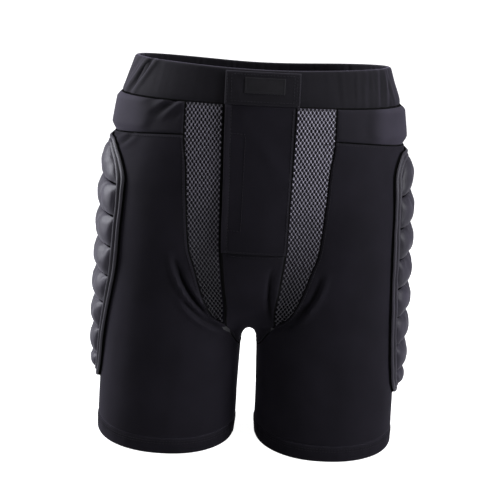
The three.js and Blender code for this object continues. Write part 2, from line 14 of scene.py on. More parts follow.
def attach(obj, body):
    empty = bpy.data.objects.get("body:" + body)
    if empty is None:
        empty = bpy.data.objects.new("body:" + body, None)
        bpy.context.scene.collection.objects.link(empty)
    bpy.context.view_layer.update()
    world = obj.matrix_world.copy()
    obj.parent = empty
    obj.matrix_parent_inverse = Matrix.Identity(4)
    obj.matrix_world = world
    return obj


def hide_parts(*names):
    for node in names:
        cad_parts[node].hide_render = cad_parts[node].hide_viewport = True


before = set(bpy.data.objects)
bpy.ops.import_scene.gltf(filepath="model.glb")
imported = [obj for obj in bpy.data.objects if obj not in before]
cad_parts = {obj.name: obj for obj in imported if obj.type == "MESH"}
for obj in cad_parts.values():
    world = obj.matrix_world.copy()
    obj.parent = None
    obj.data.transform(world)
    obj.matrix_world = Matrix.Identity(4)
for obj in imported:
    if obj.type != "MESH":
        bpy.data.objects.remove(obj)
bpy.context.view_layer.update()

MM = 0.001

# ------------------------------------------------------------------ camera
BODY_Y = -10.8  # where the body's own axis lies, from the middle of the bounding box
CAMERA_DISTANCE = 1.53
CAMERA_HEIGHT = 0.5786
CAMERA_ASIDE = -0.0039  # metres along X
CAMERA_AZIMUTH = 0.1  # degrees towards the wearer's right
CAMERA_PITCH = 12.67  # degrees down
CAMERA_ROLL = 3.01  # degrees
CAMERA_LENS = 92.6  # millimetres


def placed(name, data):
    """A new object in the scene that shows some data."""
    obj = bpy.data.objects.new(name, data)
    bpy.context.scene.collection.objects.link(obj)
    return obj


def make_camera():
    a, p = math.radians(CAMERA_AZIMUTH), math.radians(CAMERA_PITCH)
    data = bpy.data.cameras.new("camera")
    data.lens = CAMERA_LENS
    data.sensor_width = 36.0
    data.clip_start, data.clip_end = 0.05, 30.0
    camera = placed("camera", data)
    ahead = Vector((math.sin(a) * math.cos(p), math.cos(a) * math.cos(p), -math.sin(p)))
    turn = ahead.to_track_quat("-Z", "Y").to_matrix().to_4x4()
    turn = turn @ Matrix.Rotation(math.radians(CAMERA_ROLL), 4, "Z")
    back_x, back_y = CAMERA_DISTANCE * math.sin(a), CAMERA_DISTANCE * math.cos(a)
    place = Vector((CAMERA_ASIDE - back_x, BODY_Y * MM - back_y, CAMERA_HEIGHT))
    camera.matrix_world = Matrix.Translation(place) @ turn
    bpy.context.scene.camera = camera


make_camera()

# ------------------------------------------------------------------ sizes
FABRIC = 2.0
HEM_HEIGHT = 20.0
STRIP_TIP = 160.0
FLY_SEAM = 255.0
GUSSET_TIP = 235.0
GUSSET_HALF_WIDTH = 24.0
YOKE_SEAM = 377.0
YOKE_RISE = 9.0
SEAM_REACH = 105.0  # out from the axis, where the yoke seam has climbed by its rise
WAIST_SEAM = 423.0
WAIST_TOP = 458.0
WAIST_TOP_SIDE = 7.0
WAIST_TOP_TILT = 4.0
WAIST_JOIN = 30.0
LEG_AXIS = 93.0
FLAP_HINGE_EDGE = 38.0
TAB_HALF_WIDTH = 42.0
TAB_FREE_EDGE = 40.4
TAB_TOP = 459.5
YOKE_BULGE = 5.0
PAD_LIFT = 1.6
CELL = 2.6  # usual spacing of the fabric's grid
LEFT, RIGHT = 1.0, -1.0
SIDES = (("right", RIGHT), ("left", LEFT))


# ------------------------------------------------------------------ the body's surface
def profile(knots):
    """A smooth curve through (position, value) knots, level beyond its ends."""
    at, value = np.array(knots, float).T
    last = len(at) - 1
    low = np.maximum(np.arange(last + 1) - 1, 0)
    high = np.minimum(np.arange(last + 1) + 1, last)
    slope = (value[high] - value[low]) / (at[high] - at[low])

    def curve(z):
        z = np.clip(z, at[0], at[-1])
        i = np.clip(np.searchsorted(at, z), 1, last)
        h = at[i] - at[i - 1]
        t = (z - at[i - 1]) / h
        ends = value[i - 1] * (2 * t**3 - 3 * t**2 + 1) + value[i] * (3 * t**2 - 2 * t**3)
        return ends + h * (slope[i - 1] * (t**3 - 2 * t**2 + t) + slope[i] * (t**3 - t**2))

    return curve


leg_centre = profile([(0, 97.5), (120, 95), (200, 91.5), (300, 84.5), (340, 80.5), (400, 70), (465, 60)])
leg_half_width = profile([(0, 85), (120, 85.5), (200, 87.5), (300, 91), (340, 91), (400, 82), (465, 62)])
leg_front = profile([(0, 88), (100, 95), (200, 104), (290, 112), (350, 105), (465, 70)])
leg_back = profile([(0, 92), (100, 101), (200, 119), (280, 132), (350, 123), (465, 75)])
hip_half_width = profile(
    [(290, 96), (315, 126), (340, 152), (362, 167), (385, 169), (425, 164), (450, 155), (465, 150)]
)
hip_front = profile([(290, 119), (340, 119), (385, 118), (425, 114), (465, 107)])
hip_back = profile([(290, 127), (340, 130), (385, 126), (425, 119), (465, 111)])
BOWL_TOP, BOWL_DEPTH, BOWL_POWER = 300.0, 150.0, 2.6
SECTION_POWER = 2.3
BLEND = 22.0


def tube(x, y, a, b, extra=0.0):
    """Distance, about, from an upright tube of half width a and half depth b."""
    total = (np.abs(x) / a) ** SECTION_POWER + (np.abs(y) / b) ** SECTION_POWER + extra
    return (total ** (1 / SECTION_POWER) - 1) * 0.5 * (a + b)


def soft_minimum(a, b):
    h = np.maximum(BLEND - np.abs(a - b), 0) / BLEND
    return np.minimum(a, b) - h * h * BLEND / 4


def field(p):
    """Below 0 inside the body and above 0 outside it, for points in an array (..., 3)."""
    x, y, z = p[..., 0], p[..., 1], p[..., 2]
    centre, half = leg_centre(z), leg_half_width(z)
    depth = np.where(y < 0, leg_front(z), leg_back(z))
    legs = soft_minimum(tube(x - centre, y, half, depth), tube(x + centre, y, half, depth))
    bowl = (np.maximum(BOWL_TOP - z, 0) / BOWL_DEPTH) ** BOWL_POWER
    hip_depth = np.where(y < 0, hip_front(z), hip_back(z))
    return soft_minimum(legs, tube(x, y, hip_half_width(z), hip_depth, bowl))


TINY = 1e-9


def unit(v):
    return v / np.maximum(np.linalg.norm(v, axis=-1, keepdims=True), TINY)


PROBE = 0.5  # step for slopes of the field


def normals(p):
    parts = [field(p + PROBE * e) - field(p - PROBE * e) for e in np.eye(3)]
    return unit(np.stack(parts, axis=-1))


HALVINGS = 14


def cast(start, direction, near=0.0, reach=230.0, stride=6.0):
    """The first crossing of the surface on each ray."""
    start, direction = np.broadcast_arrays(start, direction)
    shape = start.shape
    start, direction = start.reshape(-1, 3), direction.reshape(-1, 3)
    at = np.arange(near, reach, stride)
    side = np.stack([field(start + direction * t) < 0 for t in at])
    first = np.argmax(side != side[0], axis=0)
    inside = side[0]
    low, high = at[np.maximum(first - 1, 0)], at[first]
    for _ in range(HALVINGS):
        middle = (low + high) / 2
        same = (field(start + direction * middle[:, None]) < 0) == inside
        low, high = np.where(same, middle, low), np.where(same, high, middle)
    return (start + direction * low[:, None]).reshape(shape)


def points(x, y, z):
    """Coordinates of any matching shapes as one array of points."""
    return np.stack(np.broadcast_arrays(np.asarray(x, float), y, z), axis=-1)


OUTSIDE_Y, OUTSIDE_X = 150.0, 215.0  # clear of the body, where rays towards it start
FRONT_Y = -140.0


def around(axis, angle, z):
    """Surface points at some angles round an upright axis."""
    ray = points(np.cos(angle), np.sin(angle), 0.0)
    return cast(points(axis, 0.0, z), ray, near=50.0)


def from_front(x, z):
    return cast(points(x, FRONT_Y, z), np.array([0.0, 1.0, 0.0]), reach=150.0)


def from_back(x, z):
    return cast(points(x, OUTSIDE_Y, z), np.array([0.0, -1.0, 0.0]), reach=150.0)


def from_outside(y, z):
    return cast(points(OUTSIDE_X, y, z), np.array([-1.0, 0.0, 0.0]), reach=150.0)


WALK_STEPS = 14


def walk(p, across, distance):
    """Walks over the surface, in the planes through p whose normals are across, and settles
    back on the surface after every step."""
    p = p.copy()
    for _ in range(WALK_STEPS):
        p += unit(np.cross(across, normals(p))) * (distance / WALK_STEPS)[..., None]
        for _ in range(3):
            m = normals(p)
            m -= across * np.sum(m * across, axis=-1, keepdims=True)
            value = field(p)
            slope = (field(p + PROBE * m) - value) / PROBE
            p -= m * (value / slope)[..., None]
    return p


def mix(a, b, t):
    return a + (b - a) * t


def smooth(low, high, x):
    t = np.clip((x - low) / (high - low), 0, 1)
    return t * t * (3 - 2 * t)


# ------------------------------------------------------------------ where the seams run
def seam_height(y):
    """The yoke seam climbs towards the front and the back of the body."""
    return YOKE_SEAM + YOKE_RISE * (y / SEAM_REACH) ** 2


def waist_top(angle):
    return WAIST_TOP + WAIST_TOP_SIDE * np.cos(angle) ** 2 - WAIST_TOP_TILT * np.sin(angle)


strip_inner = profile([
    (STRIP_TIP, 28), (188, 29), (210, 32), (257, 36.6), (314, 37.5), (392, 39), (425, 39.5),
])
strip_outer = profile([
    (STRIP_TIP, 28), (172, 42), (188, 52), (210, 60), (237, 68), (257, 74), (314, 79), (352, 81),
    (380, 84.5), (427, 84.5),
])

GUSSET_PIVOT = np.array([0.0, 0.0, 215.0])


def pivot_angle(p):
    return math.atan2(p[2] - GUSSET_PIVOT[2], p[1] - GUSSET_PIVOT[1])


START_ANGLE = pivot_angle(from_front(0.0, STRIP_TIP))
END_ANGLE = pivot_angle(from_back(0.0, GUSSET_TIP))
tip_row = from_front(np.linspace(0, float(strip_inner(STRIP_TIP)), 40), STRIP_TIP)
TIP_LENGTH = float(np.sum(np.linalg.norm(np.diff(tip_row, axis=0), axis=1)))
gusset_width = profile([
    (0, TIP_LENGTH), (0.12, mix(TIP_LENGTH, GUSSET_HALF_WIDTH, 0.6)), (0.3, GUSSET_HALF_WIDTH),
    (0.62, GUSSET_HALF_WIDTH * 0.9), (1, 2),
])


def gusset_point(t, distance):
    """t runs from the front tip to the back point; distance is over the cloth from the middle."""
    angle = mix(START_ANGLE, END_ANGLE, t)
    ray = points(0.0, np.cos(angle), np.sin(angle))
    centre = cast(np.broadcast_to(GUSSET_PIVOT, ray.shape), ray, near=10.0)
    n = normals(centre)
    turned = np.minimum(t / 0.3, 1)
    across = points(0.0, -n[..., 2] * turned, turned - 1 + n[..., 1] * turned)
    return walk(centre, unit(across), -distance)


# ------------------------------------------------------------------ meshes
def object_from(name, verts, faces, side=LEFT, material=None, smooth_angle=50.0):
    """Makes a mesh object from points in millimetres, mirrored to the wanted side."""
    co = np.array(verts, float).reshape(-1, 3).copy()
    co[:, 0] *= side
    co[:, 1] += BODY_Y
    mesh = bpy.data.meshes.new(name)
    mesh.from_pydata((co * MM).tolist(), [], faces)
    mesh.update()
    obj = placed(name, mesh)
    work = bmesh.new()
    work.from_mesh(mesh)
    bmesh.ops.recalc_face_normals(work, faces=work.faces)
    work.to_mesh(mesh)
    work.free()
    mesh.shade_smooth()
    if smooth_angle:
        mesh.set_sharp_from_angle(angle=math.radians(smooth_angle))
    if material is not None:
        mesh.materials.append(material)
    return obj


def grid_faces(rows, columns, first=0, flip=False, closed=False):
    """The quads of a grid of points, row after row; closed joins its last column to its first."""
    j, i = np.indices((rows - 1, columns if closed else columns - 1))
    k, low, high = (i + 1) % columns, j * columns, (j + 1) * columns
    quads = np.stack([low + i, low + k, high + k, high + i], axis=-1).reshape(-1, 4) + first
    return (quads[:, ::-1] if flip else quads).tolist()


EDGE_ROUNDING = 0.7  # how far the faces of a sheet close in on each other at its rim


def sheet(name, p, low, high, side=LEFT, material=None, relief=0.0):
    """A closed sheet over a grid p (rows, columns, 3) of surface points; low and high are its
    two faces' heights over the surface, and relief is added to both."""
    rows, columns = p.shape[:2]
    n = normals(p)
    low = np.broadcast_to(np.asarray(low, float) + relief, (rows, columns))
    high = np.broadcast_to(np.asarray(high, float) + relief, (rows, columns))
    rim = np.zeros((rows, columns), bool)
    rim[[0, -1], :] = True
    rim[:, [0, -1]] = True
    middle = (low + high) / 2
    low = np.where(rim, mix(low, middle, EDGE_ROUNDING), low)
    high = np.where(rim, mix(high, middle, EDGE_ROUNDING), high)
    verts = np.concatenate([(p + n * face[..., None]).reshape(-1, 3) for face in (low, high)])
    count = rows * columns
    faces = grid_faces(rows, columns) + grid_faces(rows, columns, first=count, flip=True)
    index = np.arange(count).reshape(rows, columns)
    ring = np.concatenate([index[0, :-1], index[:-1, -1], index[-1, :0:-1], index[:0:-1, 0]])
    after = np.roll(ring, -1)
    faces += np.stack([after, ring, ring + count, after + count], axis=-1).tolist()
    return object_from(name, verts, faces, side, material)


def sweep(name, stations, closed, side=LEFT, material=None, smooth_angle=50.0):
    """A section carried along stations (count, section points, 3); open sweeps get end caps."""
    count, size = stations.shape[:2]
    verts = stations.reshape(-1, 3)
    if closed:
        faces = []
        for station in range(count):
            a, b = station * size, ((station + 1) % count) * size
            faces += [[a + k, a + (k + 1) % size, b + (k + 1) % size, b + k] for k in range(size)]
    else:
        faces = grid_faces(count, size, closed=True)
        faces += [list(range(size))[::-1], [(count - 1) * size + k for k in range(size)]]
    return object_from(name, verts, faces, side, material, smooth_angle)


def spaced(length, cell=CELL, edge=0.9):
    """Parameters from 0 to 1 about a cell apart, with a short step at both ends."""
    count = max(3, int(round(length / cell)))
    inner = np.linspace(edge / length, 1 - edge / length, count)
    return np.concatenate([[0.0], inner, [1.0]])


def waves(p, size, seed):
    """Soft irregular undulation between about -1 and 1, the same on every run."""
    random = np.random.default_rng(seed)
    total = 0.0
    for _ in range(5):
        direction = unit(random.normal(size=3))
        turns = 2 * math.pi / (size * random.uniform(0.8, 1.5))
        total = total + np.sin(p @ direction * turns + random.uniform(0, 6.28))
    return total / 3.2


def fold(p, start, end, width, height, axes=(0, 2), bow=0.0):
    """A ridge (or a valley, when height is below 0) between two spots of a flat view of p."""
    a, b = np.array(start, float), np.array(end, float)
    length = np.linalg.norm(b - a)
    along = (b - a) / length
    q = p[..., list(axes)] - a
    t = q @ along / length
    off = q @ np.array([-along[1], along[0]]) - bow * 4 * t * (1 - t)
    fade = np.clip(1 - (2 * t - 1) ** 2, 0, None) ** 0.7
    return height * fade * np.exp(-((off / width) ** 2))


def folds(p, table):
    """All the folds of a table of (from, to, width, height, bow), added up."""
    return sum(fold(p, start, end, width, height, bow=bow) for start, end, width, height, bow in table)


# ------------------------------------------------------------------ materials
def make_node(tree, kind, output=0, **values):
    """Adds a node and returns one of its outputs. A value sets a property or an input of that
    name, or is linked to the input when it is an output itself; a, b and c are inputs 0, 1, 2."""
    made = tree.nodes.new("ShaderNode" + kind)
    for key, value in values.items():
        if hasattr(made, key):
            setattr(made, key, value)
            continue
        place = made.inputs["abc".index(key) if key in "abc" else key.replace("_", " ")]
        if isinstance(value, bpy.types.NodeSocket):
            tree.links.new(value, place)
        else:
            place.default_value = value
    return made.outputs[output]


WAVE_REPEAT = 0.314  # a wave texture of scale 1 repeats every so many units
THREAD_TURN = 40  # degrees that plain cloth's threads are turned from upright
FIBRE_SCALE = 2600.0
CLOUD_SHARE, THREAD_SHARE = 0.75, 0.3  # of the colour's wander and of the threads
RAISED = (0.52, 0.64)  # pointiness where wear starts, and where it is full
FLAT = 0.495  # pointiness of cloth that isn't in a hollow
HOLLOW_SHADE_SHARE = 0.12  # how much of its colour a deep hollow keeps under its painted shade


def fabric(name, dark, light, period=1.0, relief=0.12, roughness=0.75, sheen=0.3,
           tint=(0.80, 0.72, 1.0), sheen_roughness=0.4, patch=0.05, ribbed=False, wear=0.5,
           gloss=0.08, fade=None, hollow_shade=0.40):
    """Knitted or woven cloth: two crossing threads in relief, colour that wanders over the
    piece, fibres that break up the gloss, lighter wear along raised edges, painted shade in
    hollows, and with fade, (axis, metres where darkest, metres where full, share left), painted shade over
    one end."""
    material = bpy.data.materials.new(name)
    material.use_nodes = True
    tree = material.node_tree
    shader = tree.nodes["Principled BSDF"].inputs

    def add(kind, output=0, **values):
        return make_node(tree, kind, output, **values)

    where = add("TexCoord", "Object")
    turned = add("Mapping", Vector=where, Rotation=(0.0, 0.0 if ribbed else math.radians(THREAD_TURN), 0.0))
    threads = [
        add("TexWave", "Fac", bands_direction=axis, Vector=turned, Scale=WAVE_REPEAT / (period * MM),
            Distortion=0.6, Detail_Scale=2.0)
        for axis in ("X", "Z")
    ]
    cross = add("Math", operation="MULTIPLY" if ribbed else "MAXIMUM", a=threads[0], b=threads[1])
    cloud = add("TexNoise", "Fac", Vector=where, Scale=1 / patch, Detail=4.0, Roughness=0.55)
    fibre = add("TexNoise", "Fac", Vector=where, Scale=FIBRE_SCALE, Detail=2.0)
    grain = add("Math", operation="MULTIPLY", a=cross, b=THREAD_SHARE)
    blend = add("Math", operation="MULTIPLY_ADD", a=cloud, b=CLOUD_SHARE, c=grain)
    colour = add("ValToRGB", "Color", Fac=blend)
    for stop, position, shade in zip(colour.node.color_ramp.elements, (0.22, 0.85), (dark, light)):
        stop.position = position
        stop.color = (*shade, 1)
    pointed = add("NewGeometry", "Pointiness")
    raised = add("MapRange", Value=pointed, From_Min=RAISED[0], From_Max=RAISED[1], To_Max=wear)
    worn = (*[min(1.0, c * 2.2 + 0.01) for c in light], 1)
    colour = add("Mix", "Result", data_type="RGBA", Factor=raised, A=colour, B=worn)
    # Painted shade: the less pointy the cloth, down to the hollow setting, the darker its colour, standing
    # in for shadow in creases, grooves and seams.
    sunk = add("MapRange", Value=pointed, From_Min=hollow_shade, From_Max=FLAT, To_Min=HOLLOW_SHADE_SHARE)
    colour = add("VectorMath", operation="SCALE", a=colour, Scale=sunk)
    # Painted shade: fade darkens the colour towards one end along an axis, standing in for the shade that
    # falls there.
    if fade:
        axis, low, high, dimmest = fade
        distance = add("Math", operation="ABSOLUTE", a=add("SeparateXYZ", axis, a=where))
        share = add("MapRange", interpolation_type="SMOOTHSTEP", Value=distance,
                    From_Min=low, From_Max=high, To_Min=dimmest)
        colour = add("VectorMath", operation="SCALE", a=colour, Scale=share)
    rough = add("MapRange", Value=fibre, To_Min=roughness - 0.1, To_Max=min(1.0, roughness + 0.12))
    bump = add("Bump", Strength=0.6, Distance=relief * MM, Height=cross)
    for key, output in (("Base Color", colour), ("Roughness", rough), ("Normal", bump)):
        tree.links.new(output, shader[key])
    shader["Sheen Weight"].default_value = sheen
    shader["Sheen Tint"].default_value = (*tint, 1)
    shader["Sheen Roughness"].default_value = sheen_roughness
    shader["Specular IOR Level"].default_value = gloss
    return material


def grey(value, blue=1.0):
    return (value, value * (1 - 0.4 * (blue - 1)), value * blue)


cloth = fabric("stretch_knit", grey(0.003, 1.2), grey(0.0072, 1.25), period=1.1, sheen=0.045,
               gloss=0.03, hollow_shade=0.45)
# Painted shade: fade darkens the yoke cloth towards the middle of the body.
yoke_cloth = fabric("brushed_knit", grey(0.008, 1.2), grey(0.020, 1.25), period=1.1, sheen=0.05,
                    gloss=0.05, hollow_shade=0.46, fade=("X", 0.122, 0.146, 0.38))
# The side pads' cloths are shaded copies of the pad cloth: fade paints shade that darkens each towards the
# middle of the body, the wearer's left one more.
pad_cloths = {
    key: fabric(f"laminated_knit{key}", grey(0.0095, 1.25), grey(0.021, 1.3), period=0.9, relief=0.07,
                roughness=0.52, sheen=0.05, sheen_roughness=0.3, patch=0.03, gloss=0.18, hollow_shade=0.465,
                fade=fade)
    for key, fade in (("", None), ("_-1", ("X", 0.156, 0.172, 0.55)), ("_1", ("X", 0.166, 0.188, 0.4)))
}
band_cloth = fabric("waistband_knit", grey(0.003, 1.15), grey(0.007, 1.2), period=1.3, relief=0.16,
                    sheen=0.08, ribbed=True, gloss=0.05)
binding_cloth = fabric("edge_tape", grey(0.006, 1.25), grey(0.014, 1.3), period=0.8, relief=0.15,
                       roughness=0.5, sheen=0.05, ribbed=True, gloss=0.2, hollow_shade=0.46)
net_threads, net_knot_skins = {}, {}
# The two nets are lit and shaded copies of one net: painted light makes the wearer's left one brighter than
# the right, and painted shade darkens both towards the crotch.
for side, painted_light, dimmest in ((RIGHT, 0.66, 0.10), (LEFT, 1.32, 0.12)):
    net_painted_shade = ("Z", 0.20, 0.37, dimmest)
    net_threads[side] = fabric(
        f"net_thread_{int(side)}", grey(0.030 * painted_light, 1.12), grey(0.055 * painted_light, 1.14),
        period=0.5, relief=0.05, roughness=0.4, sheen=0.05, patch=0.02, gloss=0.25, fade=net_painted_shade)
    net_knot_skins[side] = fabric(
        f"net_knot_{int(side)}", grey(0.060 * painted_light, 1.14), grey(0.105 * painted_light, 1.16),
        period=0.5, relief=0.05, roughness=0.45, sheen=0.05, patch=0.015, gloss=0.3, fade=net_painted_shade)
# Painted shade: the net's ground cloth darkens towards the crotch.
net_ground = fabric("net_ground", grey(0.008, 1.15), grey(0.014, 1.15), period=0.8, sheen=0.0,
                    gloss=0.0, fade=("Z", 0.17, 0.26, 0.2))
sewing = fabric("sewing_thread", grey(0.003, 1.1), grey(0.006, 1.15), period=0.4, relief=0.08,
                roughness=0.6, sheen=0.02, gloss=0.03)
# Painted shade: near-black cloth laid on the faces of seams, grooves and gaps where shadow falls.
painted_seam_shade = fabric("painted_crease_shade", grey(0.0012), grey(0.0026), period=0.8, sheen=0.0, gloss=0.0)
lining = fabric("tricot_lining", grey(0.012), grey(0.024), period=1.4, relief=0.1, sheen=0.2)
elastic = fabric("woven_elastic", grey(0.015), grey(0.03), period=1.8, relief=0.3, sheen=0.1, ribbed=True)
foam = fabric("closed_cell_foam", grey(0.03), grey(0.06), period=0.7, relief=0.1, roughness=0.9, sheen=0.0)
hook_tape = fabric("hook_and_loop", grey(0.006), grey(0.014), period=1.5, relief=0.4, roughness=0.9,
                   sheen=0.15)
patch_skin = fabric("moulded_patch", grey(0.004, 1.1), grey(0.008, 1.1), period=0.9, relief=0.06,
                    roughness=0.5, sheen=0.05, patch=0.01, gloss=0.06)


def darken(obj, chosen):
    """Paints the chosen faces of a mesh with near-black painted shade, standing in for the shadow in a
    seam, groove or gap.
    """
    obj.data.materials.append(painted_seam_shade)
    index = np.zeros(len(obj.data.polygons), int)
    index[:len(chosen)] = chosen
    obj.data.polygons.foreach_set("material_index", index)


def seam_line(obj, shape, rows=(), columns=(), layers=2):
    """Paints painted shade on whole rows or columns of cells of a piece made over a grid of points."""
    cells = np.zeros((shape[0] - 1, shape[1] - 1), bool)
    cells[list(rows), :] = True
    cells[:, list(columns)] = True
    darken(obj, np.tile(cells.ravel(), layers))


def own(obj, body, slot, *nodes):
    """The piece rides a body and stands for CAD nodes, whose meshes are hidden; slot is not used."""
    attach(obj, body)
    if nodes:
        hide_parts(*nodes)
    return obj


def lengths(p):
    across = np.linalg.norm(np.diff(p, axis=1), axis=-1).sum(axis=1)
    up = np.linalg.norm(np.diff(p, axis=0), axis=-1).sum(axis=0)
    edge_a, edge_b = p[1:, :-1] - p[:-1, :-1], p[:-1, 1:] - p[:-1, :-1]
    area = np.linalg.norm(np.cross(edge_a, edge_b), axis=-1).sum()
    return across.max() * MM, up.max() * MM, area * MM * MM


STRETCH = 1.06  # how much longer the worn cloth is than its cut, each way


def declare(p):
    """Works out the size of a stretched sheet from the outline that its panel is cut to; the sizes are not
    used.
    """
    width, length, area = lengths(p)
    width, length, area = width / STRETCH, length / STRETCH, area / STRETCH**2


def panel(name, p, low, high, side, material, relief, body, slot, *nodes, seams=((), ())):
    """A stretched sheet of cloth that stands for CAD nodes. Seams are its rows and columns of
    cells that take painted shade, the shadow in the seams."""
    obj = sheet(name, p, low, high, side, material, relief)
    if seams != ((), ()):
        seam_line(obj, p.shape, *seams)
    own(obj, body, slot, *nodes)
    declare(p)


# ------------------------------------------------------------------ stitching
threads = {"shorts": [[], []], "flap": [[], []]}
STITCH, STITCH_GAP, THREAD = 2.6, 1.0, 0.34
STITCH_PLACES = np.array([0, 0.16, 0.5, 0.84, 1.0]) * STITCH
STITCH_RINGS = ((0.35, -0.28), (0.85, -0.08), (1, 0.08), (0.85, -0.08), (0.35, -0.28))  # (size, height)
HEXAGON = np.arange(6) * math.pi / 3  # the corners' angles round a thread or a knot


def stitch_path(path, height, side=LEFT, body="shorts", closed=False):
    """Lays separate stitches along a row of surface points."""
    path = np.asarray(path, float)
    if closed:
        path = np.concatenate([path, path[:1]])
    lifted = path + normals(path) * height
    steps = np.linalg.norm(np.diff(lifted, axis=0), axis=1)
    run = np.concatenate([[0], np.cumsum(steps)])
    count = int(run[-1] // (STITCH + STITCH_GAP))
    verts, faces = threads[body]
    for k in range(count):
        places = k * (STITCH + STITCH_GAP) + STITCH_PLACES
        spine = np.stack([np.interp(places, run, lifted[:, a]) for a in range(3)], axis=1)
        ahead = unit(spine[-1] - spine[0])
        out = normals(spine[2])
        across = np.cross(ahead, out)
        first = sum(len(v) for v in verts)
        ring = []
        for at, (radius, sink) in zip(spine, STITCH_RINGS):
            for angle in HEXAGON:
                aside = math.cos(angle) * across + math.sin(angle) * out
                ring.append(at + THREAD * radius * aside + sink * out)
        ring = np.array(ring)
        ring[:, 0] *= side
        verts.append(ring)
        faces += grid_faces(5, 6, first=first, closed=True)
        faces.append([first + a for a in range(5, -1, -1)])
        faces.append([first + 24 + a for a in range(6)])


# ------------------------------------------------------------------ padded covers
PAD_BASE = PAD_LIFT + 2.2  # height of a pad's rim over the cloth behind it
GROOVE = 0.3  # how far the sewn grooves stand over the rim
CROWN = 10.4  # and the tops of the ribs
FULL_RIB = 30.0  # ribs narrower than this are lower too
GROOVE_REACH = 0.3  # a row of points this near to a groove's line is in it
RIB_SQUARENESS = 6  # the higher, the nearer to the binding the ribs stay full
BINDING_WIDTH = 8.0
FOAM_HOLD = 0.4  # how much of its blown shape a cover keeps, held down by the foam in it
COVER = 1.1  # thickness of a pad's cover

rounded_ends = profile([
    (0, 0.62), (0.04, 0.84), (0.1, 0.95), (0.2, 1), (0.8, 1), (0.9, 0.95), (0.96, 0.84), (1, 0.62),
])
# The two side pads don't sit quite alike: the wearer's right one is turned to the front.
side_pad_front = {
    RIGHT: profile([
        (74, -28), (90, -40), (139, -52), (193, -69), (245, -80), (325, -82), (348, -68), (360, -56),
        (370, -44),
    ]),
    LEFT: profile([
        (74, -34), (90, -48), (142, -60), (198, -67), (260, -73), (318, -72), (345, -65), (360, -57),
        (370, -46),
    ]),
}
side_pad_back = profile([(74, 44), (88, 56), (112, 60), (336, 60), (356, 54), (370, 43)])


def side_pad(side):
    return {
        "bottom": 74.0, "top": 370.0, "ribs": [83, 106, 141.5, 177.5, 213, 249, 286, 323, 361.5],
        "edges": lambda z: (side_pad_front[side](z), side_pad_back(z)),
        "place": from_outside, "lean": 4.5, "cloth": pad_cloths[f"_{int(side)}"],
    }


def back_pad(bottom, top, middle, inward, outward, ribs):
    """A pad behind the body; inward and outward are its reaches from its middle line."""
    def edges(z):
        share = rounded_ends((z - bottom) / (top - bottom))
        return middle - inward * share, middle + outward * share

    return {"bottom": bottom, "top": top, "ribs": ribs, "edges": edges, "place": from_back, "lean": 0.0,
            "cloth": pad_cloths[""]}


seat_pad = back_pad(205.0, 358.0, 82, 56, 46, [214, 247, 280, 313, 349])
tailbone_pad = back_pad(252.0, 374.0, 0, 22, 22, [261, 295, 330, 365])


def up_pad(pad, z, inset):
    """Heights as shares of the way up a pad inside its binding."""
    return (z - (pad["bottom"] + inset)) / (pad["top"] - pad["bottom"] - 2 * inset)


def pad_points(pad, u, v, inset):
    """Surface points of a pad; u runs across, v up, and inset moves its rim in."""
    z = mix(pad["bottom"] + inset, pad["top"] - inset, v)
    outer = mix(pad["bottom"], pad["top"], v)
    low, high = pad["edges"](outer)
    return pad["place"](mix(low + inset, high - inset, u), z)


def leaning(pad, u, v):
    """The ribs run a little downhill towards the front: places up the pad once leaned so."""
    height = pad["top"] - pad["bottom"]
    return v + pad["lean"] / height * (2 * u - 1) * smooth(0, 0.12, v) * smooth(0, 0.12, 1 - v)


def rib_height(pad, u, z):
    """Rounded ribs across the pad, with sewn grooves between them."""
    ribs = np.array(pad["ribs"], float)
    i = np.clip(np.searchsorted(ribs, z, side="right") - 1, 0, len(ribs) - 2)
    t = np.clip((z - ribs[i]) / (ribs[i + 1] - ribs[i]), 0, 1)
    size = np.minimum(1, (ribs[i + 1] - ribs[i]) / FULL_RIB) ** 0.5
    arc = np.sqrt(np.clip(1 - (2 * t - 1) ** 2, 0, 1))
    across = np.clip(1 - np.abs(2 * u - 1) ** RIB_SQUARENESS, 0, 1) ** 0.5
    return across * (GROOVE + (CROWN - GROOVE) * size * arc)


CLOTH_PRESSURE = 4.0
CLOTH_FRAMES = 20
MOST_BLOWN = 0.0024  # metres


def inflate(obj, pins):
    """Blows a cover up as pinned cloth and keeps the shape, moved no more than MOST_BLOWN."""
    start = np.array([v.co for v in obj.data.vertices])
    group = obj.vertex_groups.new(name="sewn")
    group.add([int(k) for k in np.where(pins)[0]], 1.0, "REPLACE")
    cloth_modifier = obj.modifiers.new("cloth", "CLOTH")
    settings = cloth_modifier.settings
    settings.quality = 7
    settings.mass = 0.12
    settings.tension_stiffness = settings.compression_stiffness = 18
    settings.shear_stiffness = 6
    settings.bending_stiffness = 1.2
    settings.tension_damping = settings.compression_damping = 12
    settings.air_damping = 3
    settings.effector_weights.gravity = 0
    settings.vertex_group_mass = "sewn"
    settings.use_pressure = True
    settings.uniform_pressure_force = CLOTH_PRESSURE
    settings.shrink_min = -0.05
    cloth_modifier.point_cache.frame_start = 1
    cloth_modifier.point_cache.frame_end = CLOTH_FRAMES
    scene = bpy.context.scene
    for number in range(1, CLOTH_FRAMES + 1):
        scene.frame_set(number)
    shaped = obj.evaluated_get(bpy.context.evaluated_depsgraph_get()).to_mesh()
    blown = np.array([v.co for v in shaped.vertices])
    obj.modifiers.clear()
    obj.vertex_groups.clear()
    scene.frame_set(1)
    move = blown - start
    distance = np.linalg.norm(move, axis=1, keepdims=True)
    move *= FOAM_HOLD * np.minimum(1, MOST_BLOWN / np.maximum(distance, TINY))
    obj.data.vertices.foreach_set("co", (start + move).ravel())
    obj.data.update()


